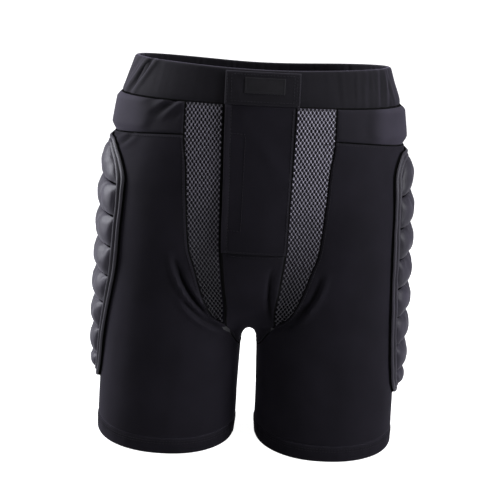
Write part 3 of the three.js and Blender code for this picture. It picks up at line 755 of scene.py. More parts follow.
def sharpen(obj, rows, columns):
    """Marks the edges along some rows of a grid as sharp folds."""
    mesh = obj.data
    ends = np.empty(2 * len(mesh.edges), int)
    mesh.edges.foreach_get("vertices", ends)
    row = ends.reshape(-1, 2) // columns
    along = (row[:, 0] == row[:, 1]) & rows[row[:, 0]]
    crease = mesh.attributes.new("crease_edge", "FLOAT", "EDGE")
    crease.data.foreach_set("value", along.astype(np.float32))


def thicken(obj):
    """Gives an open cover its thickness, inwards, then smooths it once."""
    solidify = obj.modifiers.new("thickness", "SOLIDIFY")
    solidify.thickness = COVER * MM
    solidify.offset = -1.0
    smoothing = obj.modifiers.new("smooth", "SUBSURF")
    smoothing.levels = smoothing.render_levels = 1
    evaluated = obj.evaluated_get(bpy.context.evaluated_depsgraph_get())
    mesh = bpy.data.meshes.new_from_object(evaluated)
    obj.modifiers.clear()
    obj.data = mesh
    mesh.shade_smooth()


def rib_rows(pad, inset, cell):
    """Heights for a pad's rows, closer together beside the grooves."""
    low, high = pad["bottom"] + inset, pad["top"] - inset
    marks = [low] + [z for z in pad["ribs"] if low + 2 < z < high - 2] + [high]
    rows = []
    for a, b in zip(marks[:-1], marks[1:]):
        count = max(3, int(round(1.3 * (b - a) / cell)))
        rows += list(mix(a, b, (1 - np.cos(np.linspace(0, math.pi, count, endpoint=False))) / 2))
    return np.array(rows + [high])


def rim_columns(width):
    """Places across a pad from 0 to 1, closer together beside its two side edges."""
    near = np.array([0.0, 0.7, 1.5, 2.6, 4.0, 5.8]) / width
    middle = np.linspace(near[-1], 1 - near[-1], int(width / CELL))[1:-1]
    return np.concatenate([near, middle, 1 - near[::-1]])


def make_pad(name, pad, side):
    inset = BINDING_WIDTH - 1.0
    zs = rib_rows(pad, inset, CELL)
    vs = up_pad(pad, zs, inset)
    low, high = pad["edges"](np.array((pad["bottom"] + pad["top"]) / 2))
    us = rim_columns(float(high - low) - 2 * inset)
    u, v = np.meshgrid(us, vs)
    z = np.broadcast_to(zs[:, None], u.shape)
    p = pad_points(pad, u, leaning(pad, u, v), inset)
    n = normals(p)
    heights = PAD_BASE + rib_height(pad, u, z)
    seed = sum(map(ord, name))
    puckers = 0.35 * waves(p, 14, seed)
    verts = p + n * (heights + puckers * (heights > PAD_BASE + 1))[..., None]
    rows, columns = u.shape
    cover = object_from(f"{name}_cover_shell", verts, grid_faces(rows, columns), side, pad["cloth"], 0)
    in_groove = np.min(np.abs(zs[:, None] - np.array(pad["ribs"])[None, :]), axis=1) < GROOVE_REACH
    sharpen(cover, in_groove, columns)
    # Painted shade in the sewn grooves: the two rows of cells just above each groove, under the rib above
    # it, take the near-black cloth.
    grooves = np.where(in_groove)[0]
    beside = np.unique(np.concatenate([grooves, grooves + 1]))
    seam_line(cover, (rows, columns), rows=beside[beside < rows - 1], layers=1)
    pins = np.zeros((rows, columns), bool)
    pins[in_groove, :] = True
    pins[[0, -1], :] = True
    pins[:, [0, -1]] = True
    inflate(cover, pins.ravel())
    thicken(cover)
    own(cover, "shorts", "pad_cover", f"{name}_cover")

    for rib in zs[in_groove][1:-1]:
        u = np.linspace(0.03, 0.97, 60)
        v = up_pad(pad, rib, inset)
        stitch_path(pad_points(pad, u, leaning(pad, u, v), inset), PAD_BASE + GROOVE + 0.25, side)

    core_u = np.linspace(0.02, 0.98, 26)
    core_z = rib_rows(pad, inset + 2, 4.0)
    u, z = np.meshgrid(core_u, core_z)
    v = up_pad(pad, z, inset)
    p = pad_points(pad, u, leaning(pad, u, v), inset)
    core_top = PAD_BASE - 0.9 + 0.8 * rib_height(pad, u, z)
    core = sheet(f"{name}_foam_core", p, PAD_LIFT + 1.6, core_top, side, foam)
    own(core, "shorts", "foam", f"{name}_foam")
    u, v = np.meshgrid(np.linspace(0, 1, 24), np.linspace(0, 1, 50))
    p = pad_points(pad, u, v, inset)
    panel(f"{name}_backing_cloth", p, PAD_LIFT, PAD_LIFT + 1.0, side, lining, 0.0, "shorts", "backing",
          f"{name}_backing")
    make_binding(name, pad, side)


def make_binding(name, pad, side):
    """Tape folded over a pad's edge and sewn down the middle, so it stands up in two rolls."""
    height = pad["top"] - pad["bottom"]
    along = np.linspace(0, 1, int(height / 2.2))
    low, high = pad["edges"](np.array(pad["top"]))
    top = np.linspace(1, 0, int((high - low) / 3) + 2)[1:-1]
    loop = [(1, v) for v in along] + [(u, 1) for u in top]
    loop += [(1 - u, 1 - v) for u, v in loop]
    u, v = np.array(loop, float).T
    outer, inner = pad_points(pad, u, v, 0.0), pad_points(pad, u, v, BINDING_WIDTH)
    section = [  # (share of the width from the outer edge, height over the cloth)
        (0.10, 0.4), (-0.12, 0.4), (-0.13, 0.9), (-0.03, 1.2), (-0.06, 3.0), (0.0, 4.6), (0.13, 5.6),
        (0.27, 5.5), (0.37, 4.3), (0.44, 2.2), (0.50, 1.9), (0.56, 2.6), (0.62, 4.8), (0.72, 6.3),
        (0.85, 6.7), (0.96, 5.6), (1.02, 3.2), (1.0, 0.7), (0.5, 0.5),
    ]
    edge = np.stack([mix(outer, inner, s) for s, _ in section], axis=1)
    n = normals(edge)
    seed = 7 + sum(map(ord, name))
    wander = 1 + 0.07 * waves(edge, 30, seed)
    lift = np.array([h for _, h in section])[None, :] * wander
    for _ in range(3):
        edge = (np.roll(edge, 1, axis=0) + 2 * edge + np.roll(edge, -1, axis=0)) / 4
    tape = sweep(f"{name}_bound_edge", edge + n * lift[..., None], True, side, binding_cloth, 75)
    shares, heights = np.array(section).T
    # Painted shadow: the tape's low faces, its lip and foot at the outer edge, the ditch between its rolls,
    # the foot of its inner wall and its underside, take the near-black cloth.
    painted_shadow_faces = (heights + np.roll(heights, -1)) / 2 < np.where(shares < 0.3, 2.2, 3.6)
    darken(tape, np.tile(painted_shadow_faces, len(edge)))
    own(tape, "shorts", "binding", f"{name}_binding")
    middle = mix(outer, inner, 0.5)
    stitch_path(middle, 2.15, side, closed=True)


for side_name, side in SIDES:
    make_pad(f"side_pad_{side_name}", side_pad(side), side)
    make_pad(f"seat_pad_{side_name}", seat_pad, side)
make_pad("tailbone_pad", tailbone_pad, LEFT)

# ------------------------------------------------------------------ legs and gusset
BUTT = 0.05  # clearance left where two panels meet


def bend(z):
    return np.maximum(0, (z - 300) / (YOKE_SEAM - BUTT - 300))


def raised(z):
    return z + (seam_height(from_front(strip_outer(z), z)[..., 1]) - YOKE_SEAM) * bend(z)


def leg_angle(p):
    angle = np.arctan2(p[..., 1], p[..., 0] - LEG_AXIS)
    return np.where(angle < 0, angle + 2 * math.pi, angle)


fan = np.linspace(0, 1, 61)
gusset_edge = gusset_point(fan, gusset_width(fan) + BUTT)
LOWEST = int(np.argmin(gusset_edge[:, 2]))
LEG_BOTTOM = HEM_HEIGHT + BUTT
inseam_top = float(leg_angle(gusset_edge[LOWEST]))


def inseam(z):
    return mix(math.pi, inseam_top, (z - LEG_BOTTOM) / (gusset_edge[LOWEST, 2] - LEG_BOTTOM))


below_gusset = np.arange(LEG_BOTTOM + 3, gusset_edge[LOWEST, 2] - 1.5, CELL)
lower_z = np.concatenate([[LEG_BOTTOM, LEG_BOTTOM + 0.9], below_gusset])
upper_z, behind_z = (
    np.concatenate([np.arange(tip + 2, YOKE_SEAM - 1.5, CELL), [YOKE_SEAM - 1.0, YOKE_SEAM - BUTT]])
    for tip in (STRIP_TIP, GUSSET_TIP)
)
front_branch, back_branch = gusset_edge[:LOWEST + 1][::-1], gusset_edge[LOWEST:]
front_z = np.concatenate([lower_z, front_branch[:, 2], upper_z])
beside_strip = from_front(strip_outer(raised(upper_z)) + BUTT, raised(upper_z))
front_end = np.concatenate([inseam(lower_z), leg_angle(front_branch), leg_angle(beside_strip)])
back_z = np.concatenate([lower_z, back_branch[:, 2], behind_z])
beside_middle = from_back(BUTT, behind_z)
back_end = np.concatenate([inseam(lower_z), leg_angle(back_branch), leg_angle(beside_middle)])


HEM_RISE = 6.0  # how much higher a hem's edge is at the sides of the leg than in front


def risen(angle, z):
    return z + HEM_RISE * np.cos(angle) ** 2 * (1 - smooth(10, 110, z))


def leg_grid(zs, ends, side_angle, width):
    u = spaced(width)
    angle = mix(side_angle, ends[:, None], u[None, :])
    z = risen(angle, np.broadcast_to(zs[:, None], angle.shape))
    level = around(LEG_AXIS, angle, z)
    return around(LEG_AXIS, angle, z + (seam_height(level[..., 1]) - YOKE_SEAM) * bend(z))


SEAM_PROFILE = (1.0, 0.55, 0.05)  # share of the depth in the rows at 0, 0.9 and 3.5 mm


def to_both_sides(p, u):
    """Carries the columns of a grid whose u is below 0 over to the wearer's right."""
    p[..., 0] *= np.where(u < 0, -1, 1)


def seam_dip(shape, edges, depth=0.9):
    """Cloth is drawn in beside a seam: a narrow ditch along the named edges of a grid."""
    dip = np.zeros(shape[:2])
    for k, part in enumerate(SEAM_PROFILE):
        lines = {"left": np.s_[:, k], "right": np.s_[:, -1 - k], "bottom": np.s_[k], "top": np.s_[-1 - k]}
        for edge in edges:
            dip[lines[edge]] = np.minimum(dip[lines[edge]], -part * depth)
    return dip


# Folds at the crotch: (from, to, width, height, bow) in a straight front view, x outwards.
CROTCH_FOLDS = {
    RIGHT: [((90, 246), (30, 160), 3.6, -5.0, 9), ((97, 252), (42, 166), 4.2, 3.6, 9),
            ((77, 228), (24, 158), 3.4, 3.0, 6), ((78, 196), (14, 146), 3.8, -3.8, 5),
            ((86, 196), (26, 148), 4.0, 2.6, 5)],
    LEFT: [((22, 240), (26, 160), 3.2, -4.0, -3), ((33, 218), (33, 160), 3.6, 2.4, -2),
           ((80, 232), (40, 160), 3.8, -3.8, 7), ((87, 238), (50, 166), 4.4, 3.0, 7),
           ((66, 198), (14, 150), 3.8, -3.2, 4)],
}
PAD_TOP_PINCHES = [((166, 366), (146, 386), 2.6, 1.8, 1), ((160, 360), (136, 381), 2.6, 1.5, 1),
                   ((163, 363), (141, 383.5), 1.8, -1.4, 1)]


def cloth_folds(p, side):
    """Height of the crotch folds at points of the wearer's left or right side."""
    return folds(p, CROTCH_FOLDS[side]) * smooth(0, 14, p[..., 0]) * (p[..., 1] < 0)


def front_relief(p, side):
    relief = 0.5 * waves(p, 75, 11 + int(side)) + 0.15 * waves(p, 24, 5) + cloth_folds(p, side)
    if side == RIGHT:
        relief = relief + folds(p, PAD_TOP_PINCHES) * (p[..., 1] < 0)
    return relief


def leg_seams(shape):
    return seam_dip(shape, ("right", "top")) + seam_dip(shape, ("bottom",), 0.3)


for side_name, side in SIDES:
    p = leg_grid(front_z, front_end, 2 * math.pi, 190)
    relief = front_relief(p, side) + leg_seams(p.shape)
    # Painted shade along the panel's seams.
    panel(f"front_leg_cloth_{side_name}", p, -FABRIC, 0.0, side, cloth, relief, "shorts", "shell",
          f"front_leg_panel_{side_name}", seams=([-1], [-1]))
    stitch_path(from_front(strip_outer(upper_z) + 3.2, raised(upper_z)), 0.35, side)

    p = leg_grid(back_z, back_end, 0.0, 230)
    relief = 0.5 * waves(p, 80, 31 + int(side)) + leg_seams(p.shape)
    # Painted shade along the panel's seams.
    panel(f"back_leg_cloth_{side_name}", p, -FABRIC, 0.0, side, cloth, relief, "shorts", "shell",
          f"back_leg_panel_{side_name}", seams=([-1], [-1]))
    stitch_path(from_back(3.2, behind_z[:-4]), 0.3, side)

below_fly = np.arange(FLY_SEAM - 3, STRIP_TIP + 1, -CELL)
gusset_z = np.concatenate([[FLY_SEAM - BUTT, FLY_SEAM - 1], below_fly])
half = np.concatenate([np.linspace(0, 1 - 0.04, 14), [1.0]])
u = np.concatenate([-half[:0:-1], half])
front_part = from_front(u[None, :] * (strip_inner(gusset_z)[:, None] - BUTT), gusset_z[:, None])
t = np.broadcast_to(fan[:, None], (len(fan), len(u)))
under_part = gusset_point(t, np.abs(u)[None, :] * (gusset_width(t) - BUTT))
to_both_sides(under_part, u)
p = np.concatenate([front_part, under_part])
relief = 0.35 * waves(p, 50, 3)
for side in (LEFT, RIGHT):
    relief = relief + cloth_folds(p * np.array([side, 1, 1]), side)
relief = relief + seam_dip(p.shape, ("left", "right", "bottom"))
# Painted shade along the gusset's side seams.
panel("gusset_cloth", p, -FABRIC, 0.0, LEFT, cloth, relief, "shorts", "gusset", "crotch_gusset",
      seams=((), [0, -1]))
for side in (LEFT, RIGHT):
    edge = gusset_point(fan[3:-6], gusset_width(fan[3:-6]) - 3.0)
    stitch_path(edge, 0.3, side)

# Tapes sewn in behind the gusset's seams and the seam up the middle of the back.
TAPE_HALF_WIDTH = 5.5
for side_name, side in SIDES:
    u, t = np.meshgrid(np.linspace(0, 1, 6), np.linspace(0.02, 1, 60))
    inner = np.maximum(gusset_width(t) - TAPE_HALF_WIDTH, 0.3)
    p = gusset_point(t, mix(inner, gusset_width(t) + TAPE_HALF_WIDTH, u))
    panel(f"gusset_seam_tape_{side_name}", p, -2.9, -2.2, side, lining, 0.0, "shorts", "binding")
p = from_back(*np.meshgrid(np.linspace(-6, 6, 6), np.arange(GUSSET_TIP - 8, YOKE_SEAM - 1, CELL)))
panel("back_middle_tape", p, -3.8, -3.1, LEFT, lining, 0.0, "shorts", "binding")

# ------------------------------------------------------------------ hems
HEM_SECTION = [  # (out from the cloth's face, height)
    (-0.3, 20.0), (0.1, 18.6), (0.3, 15), (0.5, 10), (0.45, 5), (0.2, 2), (-0.4, 0.6), (-1.3, 0.1),
    (-2, 0), (-2.8, 0.1), (-3.6, 0.8), (-4, 2.5), (-4, 10), (-4, 17), (-3.7, 19.9), (-2, 20.1),
]
for side_name, side in SIDES:
    angle = np.linspace(0, 2 * math.pi, 241)[:-1]
    out, z = np.array(HEM_SECTION).T
    a, z = np.meshgrid(angle, z, indexing="ij")
    p = around(LEG_AXIS, a, risen(a, z))
    n = normals(p)
    n[..., 2] = 0
    pucker = 0.18 * np.sin(a * 31 + 2 * np.sin(a * 5)) * np.clip(z / 6, 0, 1)
    ease = pucker + 0.21 * np.sin(3 * a + 1.3)
    ring = p + unit(n) * (out[None, :] + ease)[..., None]
    hem = sweep(f"hem_band_{side_name}", ring, True, side, cloth, 60)
    own(hem, "shorts", "hem", f"hem_{side_name}")
    for height, lift in ((16.4, 0.62), (13.6, 0.68)):
        stitch_path(around(LEG_AXIS, angle, risen(angle, height)), lift, side, closed=True)

# ------------------------------------------------------------------ mesh strips
NET_PITCH = 4.4  # across, between knots of one row
NET_RISE = 6.7  # up, between rows of knots that stand over each other
NET_THREAD = 0.44
# The wider bare strip on the wearer's right leaves the dark ground showing beside the flap as its painted
# shadow.
NET_MARGIN = {RIGHT: 3.4, LEFT: 1.2}  # where the net starts, beside the flap
NET_LOW = -1.25  # height of the ground cloth's face
KNOT_SIZE = 0.9
KNOT_TALL = 1.6  # how much taller than wide a knot is
KNOT_RINGS = ((0.75, -0.3), (1.0, 0.1), (0.6, 0.5))  # (size, height) of its rings
KNOT_ENDS = (-0.55, 0.62)  # and the heights of its bottom and its top
KNOT_THICKNESS = 0.55


def strip_spot(s, z):
    """A spot of a mesh strip: s is in millimetres from its inner edge."""
    return from_front(strip_inner(z) + s, z)


def strip_width(z):
    return strip_outer(z) - strip_inner(z)


def net_strand(slope, start, side):
    """One diagonal thread, cut to the strip: slope is +1 or -1, start its place at the tip."""
    z = np.arange(STRIP_TIP + 3, WAIST_SEAM - 0.6, 0.8)
    s = start + slope * (z - STRIP_TIP) * NET_PITCH / NET_RISE
    keep = (s > NET_MARGIN[side]) & (s < strip_width(z) - 0.9)
    if keep.sum() < 4:
        return None
    z, s = z[keep], s[keep]
    p = strip_spot(s, z)
    weave = np.sin((z - STRIP_TIP) * math.pi / NET_RISE * 2 + (0 if slope > 0 else math.pi))
    return p, normals(p), NET_LOW + 0.35 + 0.22 * weave + cloth_folds(p, side)


def net_knots(side):
    """A small flattened bead wherever two threads cross."""
    rise = NET_RISE / 2
    spots = []
    for k in range(1, int((WAIST_SEAM - STRIP_TIP) / rise)):
        z = STRIP_TIP + k * rise
        s = np.arange(0, 24) * NET_PITCH + (NET_PITCH / 2 if k % 2 else 0)
        s = s[(s > NET_MARGIN[side] + 0.5) & (s < float(strip_width(z)) - 1.8)]
        spots += [(a, z) for a in s]
    s, z = np.array(spots).T
    p = strip_spot(s, z)
    n = normals(p)
    side_way = unit(np.cross(n, np.array([0.0, 0.0, 1.0])))
    up = np.cross(side_way, n)
    centre = p + n * (NET_LOW + 0.6 + cloth_folds(p, side))[..., None]
    rings = []
    for size, height in KNOT_RINGS:
        for angle in HEXAGON:
            aside = math.cos(angle) * side_way + KNOT_TALL * math.sin(angle) * up
            rings.append(centre + KNOT_SIZE * size * aside + KNOT_THICKNESS * height * n)
    ends = [centre + KNOT_THICKNESS * height * n for height in KNOT_ENDS]
    verts = np.stack(rings + ends, axis=1)
    knot = grid_faces(3, 6, closed=True)
    knot += [[18, (a + 1) % 6, a] for a in range(6)] + [[19, 12 + a, 12 + (a + 1) % 6] for a in range(6)]
    faces = [[20 * k + corner for corner in face] for k in range(len(centre)) for face in knot]
    return verts.reshape(-1, 3), faces


up_strip = np.arange(STRIP_TIP + 3, WAIST_SEAM - 1, CELL)
for side_name, side in SIDES:
    z = np.concatenate([[STRIP_TIP + 1.5], up_strip, [WAIST_SEAM - BUTT]])
    u, zz = np.meshgrid(spaced(45), z)
    p = strip_spot(mix(BUTT, strip_width(zz) - BUTT, u), zz)
    ground = sheet(f"net_ground_{side_name}", p, -FABRIC, NET_LOW, side, net_ground, cloth_folds(p, side))
    # Painted shade along the net's edges: its outer columns take the near-black cloth, with one more beside
    # the flap on the wearer's right for the flap's shadow.
    seam_line(ground, p.shape, columns=[0, 1, -1] if side == RIGHT else [0, -1])
    own(ground, "shorts", "mesh")
    verts, faces = [], []
    first = 0
    for slope in (1, -1):
        for start in NET_PITCH * np.arange(-60, 70):
            strand = net_strand(slope, start, side)
            if strand is None:
                continue
            q, n, height = strand
            ahead = unit(np.gradient(q, axis=0))
            across = np.cross(ahead, n)
            spine = q + n * height[:, None]
            rings = [spine + NET_THREAD * (math.cos(angle) * across + 0.8 * math.sin(angle) * n)
                     for angle in HEXAGON]
            verts.append(np.stack(rings, axis=1).reshape(-1, 3))
            last = first + (len(q) - 1) * 6
            faces += grid_faces(len(q), 6, first=first, closed=True)
            faces += [[first + k for k in range(6)], [last + k for k in range(5, -1, -1)]]
            first = last + 6
    thread_faces = len(faces)
    knot_verts, knot_faces = net_knots(side)
    verts.append(knot_verts)
    faces += [[first + k for k in face] for face in knot_faces]
    net = object_from(f"net_{side_name}", np.concatenate(verts), faces, side, net_threads[side], 0)
    net.data.materials.append(net_knot_skins[side])
    index = (np.arange(len(faces)) >= thread_faces).astype(int)
    net.data.polygons.foreach_set("material_index", index)
    own(net, "shorts", "mesh", f"mesh_panel_{side_name}")
    declare(p)
    z = np.arange(STRIP_TIP + 12, WAIST_SEAM - 1, CELL)
    s, zz = np.meshgrid(np.linspace(-5, 6, 6), z)
    p = strip_spot(np.maximum(strip_width(zz) + s, 0.5), zz)
    sunk = np.minimum(cloth_folds(p, side), 0)
    panel(f"net_seam_tape_{side_name}", p, -3.9, -3.3, side, lining, sunk, "shorts", "binding")

# ------------------------------------------------------------------ yokes and hip pads
SIDE_TURN = BUTT / 168.0
PAD_WRAP = 0.42  # how far, in radians, the hip pad carries on behind the side seam


def body_angle(p):
    return np.arctan2(p[..., 1], p[..., 0])


def strip_angle(guess, v):
    z = guess + (seam_height(from_front(strip_outer(guess), guess)[..., 1]) - YOKE_SEAM) * (1 - v)
    return body_angle(from_front(strip_outer(z) + BUTT, z))


def yoke_point(u, v, front):
    guess = mix(YOKE_SEAM, WAIST_SEAM, v)
    start = strip_angle(guess, v) if front else np.full(guess.shape, math.pi / 2)
    angle = mix(start, -SIDE_TURN if front else SIDE_TURN, u)
    y = around(0.0, angle, guess)[..., 1]
    return around(0.0, angle, mix(seam_height(y) + BUTT, WAIST_SEAM - BUTT, v))


def upright(v):
    return smooth(0.0, 0.22, v) * smooth(-0.04, 0.14, 1 - v)


def front_bulge(u, v):
    border = 0.25 + 0.07 * (2 * v - 1) ** 2
    swell = 0.45 * smooth(border, border + 0.1, u) + 0.55 * smooth(border + 0.05, border + 0.5, u)
    return YOKE_BULGE * swell * upright(v) * mix(1.0, 0.7, smooth(0.85, 1, u))


def back_bulge(p, v):
    turn = np.abs(np.arctan2(p[..., 1], np.abs(p[..., 0])))
    return 0.7 * YOKE_BULGE * upright(v) * (1 - smooth(0.6 * PAD_WRAP, PAD_WRAP, turn))


YOKE_FOLDS = [((76, 430), (112, 399), 2.4, 1.6, 2), ((84, 430), (119, 402), 2.0, -1.5, 2),
              ((92, 431), (127, 406), 2.4, 1.6, 2), ((104, 431), (133, 413), 2.2, -1.0, 1),
              ((82, 416), (98, 400), 2.2, -0.9, 1)]

for side_name, side in SIDES:
    u, v = np.meshgrid(spaced(130), spaced(44))
    p = yoke_point(u, v, front=True)
    relief = front_bulge(u, v) + 0.35 * waves(p, 45, 17 + int(side))
    relief = relief + seam_dip(u.shape, ("left", "top", "bottom"), depth=1.2)
    if side == RIGHT:
        relief = relief + folds(p, YOKE_FOLDS)
    # Painted shade along the yoke's seams.
    panel(f"yoke_cloth_{side_name}", p, -FABRIC, 0.0, side, yoke_cloth, relief, "shorts", "shell",
          f"yoke_panel_{side_name}", seams=([0, -1], [0]))
    u, v = np.meshgrid(np.linspace(0.27, 0.93, 40), np.linspace(0.12, 0.9, 20))
    p = yoke_point(u, v, front=True)
    high = np.maximum(front_bulge(u, v) - FABRIC - 0.9, -3.0)
    core = sheet(f"hip_foam_{side_name}", p, -4.4, high, side, foam)
    own(core, "shorts", "foam", f"hip_pad_{side_name}")
    panel(f"hip_lining_{side_name}", p, -5.7, -4.7, side, lining, 0.0, "shorts", "backing",
          f"hip_pad_lining_{side_name}")


def seam_tape(name, u, side, front):
    """A flat tape sewn in behind the seam between the yoke and the legs."""
    u, v = np.meshgrid(u, np.linspace(-0.20, 0.08, 7))
    p = yoke_point(np.abs(u), v, front)
    to_both_sides(p, u)
    panel(name, p, -2.8, -2.1, side, lining, 0.0, "shorts", "binding")


for side_name, side in SIDES:
    seam_tape(f"front_seam_tape_{side_name}", np.linspace(0.01, 0.995, 50), side, True)
seam_tape("back_seam_tape", np.linspace(-0.995, 0.995, 160), LEFT, False)

half = spaced(250)[::-1]
u = np.concatenate([half, -half[::-1][1:]])
u, v = np.meshgrid(u, spaced(40))
p = yoke_point(np.abs(u), v, front=False)
to_both_sides(p, u)
relief = back_bulge(p, v) + 0.35 * waves(p, 60, 23) + seam_dip(u.shape, ("top", "bottom"), depth=0.7)
# Painted shade along the back yoke's seams.
panel("back_yoke_cloth", p, -FABRIC, 0.0, LEFT, yoke_cloth, relief, "shorts", "shell", "back_yoke",
      seams=([0, -1], ()))

# ------------------------------------------------------------------ waistband
band_low = WAIST_SEAM + BUTT
join_angle = float(body_angle(from_front(WAIST_JOIN, 440.0)))


def band_point(angle, z, out):
    p = around(0.0, angle, z)
    n = normals(p)
    n[..., 2] = 0
    return p + unit(n) * np.asarray(out, float)[..., None]


WAIST_RADIUS = 150.0  # about, for lengths round the waistband


def gathers(angle, z):
    """Upright ruching that the elastic draws the casing into, deepest at the wearer's left."""
    x = np.cos(angle)
    forward = np.sin(angle) < 0
    s = angle * WAIST_RADIUS
    ripple = np.sin(s / 2.3 + 1.5 * np.sin(s / 9)) + 0.45 * np.sin(s / 1.4 + 2 + 2 * np.sin(s / 14))
    ripple = ripple * (0.55 + 0.45 * np.sin(s / 7.5 + 0.6))
    front_strength = 0.05 + 0.3 * smooth(0.5, 0.68, x) + 0.12 * smooth(0.7, 0.9, -x)
    strength = np.where(forward, front_strength, 0.4)
    strength = mix(strength, 0.5, smooth(0.96, 1.0, np.abs(x)))
    upward = smooth(-0.02, 0.35, (z - band_low) / (WAIST_TOP - band_low))
    return strength * ripple * mix(0.25, 1.0, upward)


def band_lift(angle, z, level):
    """The gathers, and a slow wave that grows towards the top edge."""
    return gathers(angle, z) + 0.3 * np.sin(angle * 9 + 1) * smooth(0.3, 1, level)[None, :]


WAIST_CREASES = [((-124, 474), (-160, 421), 2.2, 2.4, 0), ((-113, 474), (-149, 421), 2.2, 1.8, 0),
                 ((-119, 474), (-155, 421), 1.7, -2.2, 0), ((-134, 474), (-166, 425), 2.0, -1.4, 0)]
PLEATS = ((104, 1.6, 0.9), (113, 2.0, 1.3), (119, 1.6, -1.0), (128, 1.8, 1.4), (133, 1.5, -1.3),
          (139, 1.8, 1.5), (144, 1.4, -1.0))  # (x, width, height) at the wearer's left
WAIST_PLEATS = [((x, 470), (x + 4, 418), width, height, 0) for x, width, height in PLEATS]
SEAM_ALLOWANCE = 3.0
# (out, level, step): level 0 is the seam and 1 the top edge; step is added to the height.
band_section = [(0.0, level, 0.0) for level in (0, 0.025, *np.linspace(0.065, 0.93, 14))]
band_section += [(-0.15, 1, -1.3), (-0.7, 1, -0.5), (-1.7, 1, -0.05), (-3.0, 1, 0.0), (-4.3, 1, -0.05),
                 (-5.3, 1, -0.5), (-5.85, 1, -1.3)]
band_section += [(-6.0, level, 0.0) for level in np.linspace(0.93, 0, 8)]
band_section += [(-6.0, 0, -SEAM_ALLOWANCE), (-4.8, 0, -SEAM_ALLOWANCE), (-4.8, 0, 0.0), (-4.8, 1, -1.9),
                 (-4.2, 1, -1.3), (-3, 1, -1.1), (-1.8, 1, -1.3), (-1.2, 1, -1.9), (-1.2, 0, 0.0)]

band_parts = [
    ("front_right", -math.pi + SIDE_TURN, join_angle - 0.002),
    ("front_left", join_angle + 0.002, -SIDE_TURN),
    ("back", SIDE_TURN, math.pi - SIDE_TURN),
]
for part, first_angle, last_angle in band_parts:
    angle = mix(first_angle, last_angle, spaced((last_angle - first_angle) * WAIST_RADIUS, 1.9))
    out, level, step = (np.array(c, float) for c in zip(*band_section))
    a = np.broadcast_to(angle[:, None], (len(angle), len(out)))
    z = mix(band_low, waist_top(a), level[None, :]) + step[None, :]
    lift = band_lift(a, z, level)
    lift = lift - 0.6 * (1 - smooth(0, 0.12, level))[None, :]
    flat = band_point(a, z, np.zeros(a.shape))
    in_front, on_right = flat[..., 1] < 0, flat[..., 0] < 0
    lift = lift + folds(flat, WAIST_CREASES) * in_front * on_right + folds(flat, WAIST_PLEATS) * in_front
    ends = np.minimum(angle - angle[0], angle[-1] - angle) * WAIST_RADIUS
    lift = lift - 0.35 * (1 - smooth(0, 3, ends))[:, None]
    stations = band_point(a, z, out[None, :] + lift)
    band = sweep(f"waistband_casing_{part}", stations, False, LEFT, band_cloth, 70)
    # Painted shade: the first strip of the band's section, along the seam at its foot, takes the near-black
    # cloth.
    darken(band, np.tile(np.arange(len(band_section)) == 0, len(a) - 1))
    own(band, "shorts", "shell", f"waistband_{part}")

    count = max(12, int((last_angle - first_angle) * 60))
    angle = np.linspace(first_angle + 0.03, last_angle - 0.03, count)
    ribs = np.linspace(0, 1, 15)
    face = [(-2.1 - 0.15 * (k % 2), r) for k, r in enumerate(ribs)]
    face += [(-3.9 + 0.15 * (k % 2), r) for k, r in enumerate(ribs[::-1])]
    out, level = np.array(face).T
    a = np.broadcast_to(angle[:, None], (len(angle), len(out)))
    z = mix(band_low + 2, waist_top(a) - 2.6, level[None, :])
    stations = band_point(a, z, out[None, :] + band_lift(a, z, level))
    band = sweep(f"elastic_{part}", stations, False, LEFT, elastic, 30)
    own(band, "shorts", "elastic", f"waist_elastic_{part}")


# ------------------------------------------------------------------ fly and tab
def flap_half(z):
    return strip_inner(z) - BUTT


def front_patch(x0, x1, z0, z1, cell=CELL, edge=0.8):
    u, v = np.meshgrid(spaced(x1 - x0, cell, edge), spaced(z1 - z0, cell, edge))
    return from_front(mix(x0, x1, u), mix(z0, z1, v))


FLAP_LOW, FLAP_HIGH, TAB_HIGH = 0.3, 2.3, 4.3  # heights over the body of the two layers' faces
FREE_EDGE_LIFT = 1.8
FACING_STITCHES = 6.9  # from the flap's free edge
facing_columns = [0, 0.8, 2.2, 3.8, 5.4, 6.2, 6.9, 7.6, 8.6]  # closer together over the turned edge
across = np.concatenate([facing_columns, np.arange(10.5, 73.4, 2.2), [74.2, 75]]) / 75
u, v = np.meshgrid(across, spaced(WAIST_SEAM - FLY_SEAM, 2.4))
z = mix(FLY_SEAM + BUTT, WAIST_SEAM - BUTT, v)
p = from_front(mix(-flap_half(z), np.minimum(flap_half(z), FLAP_HINGE_EDGE), u), z)
relief = 0.3 * waves(p, 48, 41) + 0.12 * waves(p, 16, 43)
relief = relief + fold(p, (-30, 414), (36, 330), 7.0, 0.5, bow=4)
relief = relief + seam_dip(u.shape, ("right",), depth=0.5)
from_free_edge = p[..., 0] + flap_half(z)
curl = FREE_EDGE_LIFT * (1 - smooth(0, 9, from_free_edge)) * smooth(FLY_SEAM, FLY_SEAM + 30, p[..., 2])
facing = 0.35 * (1 - smooth(6.0, 6.8, from_free_edge))
sewn_down = 0.3 * np.exp(-(((from_free_edge - FACING_STITCHES) / 0.7) ** 2))
relief = np.maximum(relief, -0.25) + curl + (facing - sewn_down)
# Painted shade along the flap's seams.
panel("fly_flap_cloth", p, FLAP_LOW, FLAP_HIGH, LEFT, cloth, relief, "flap", "shell", "fly_flap",
      seams=([0], [-1]))

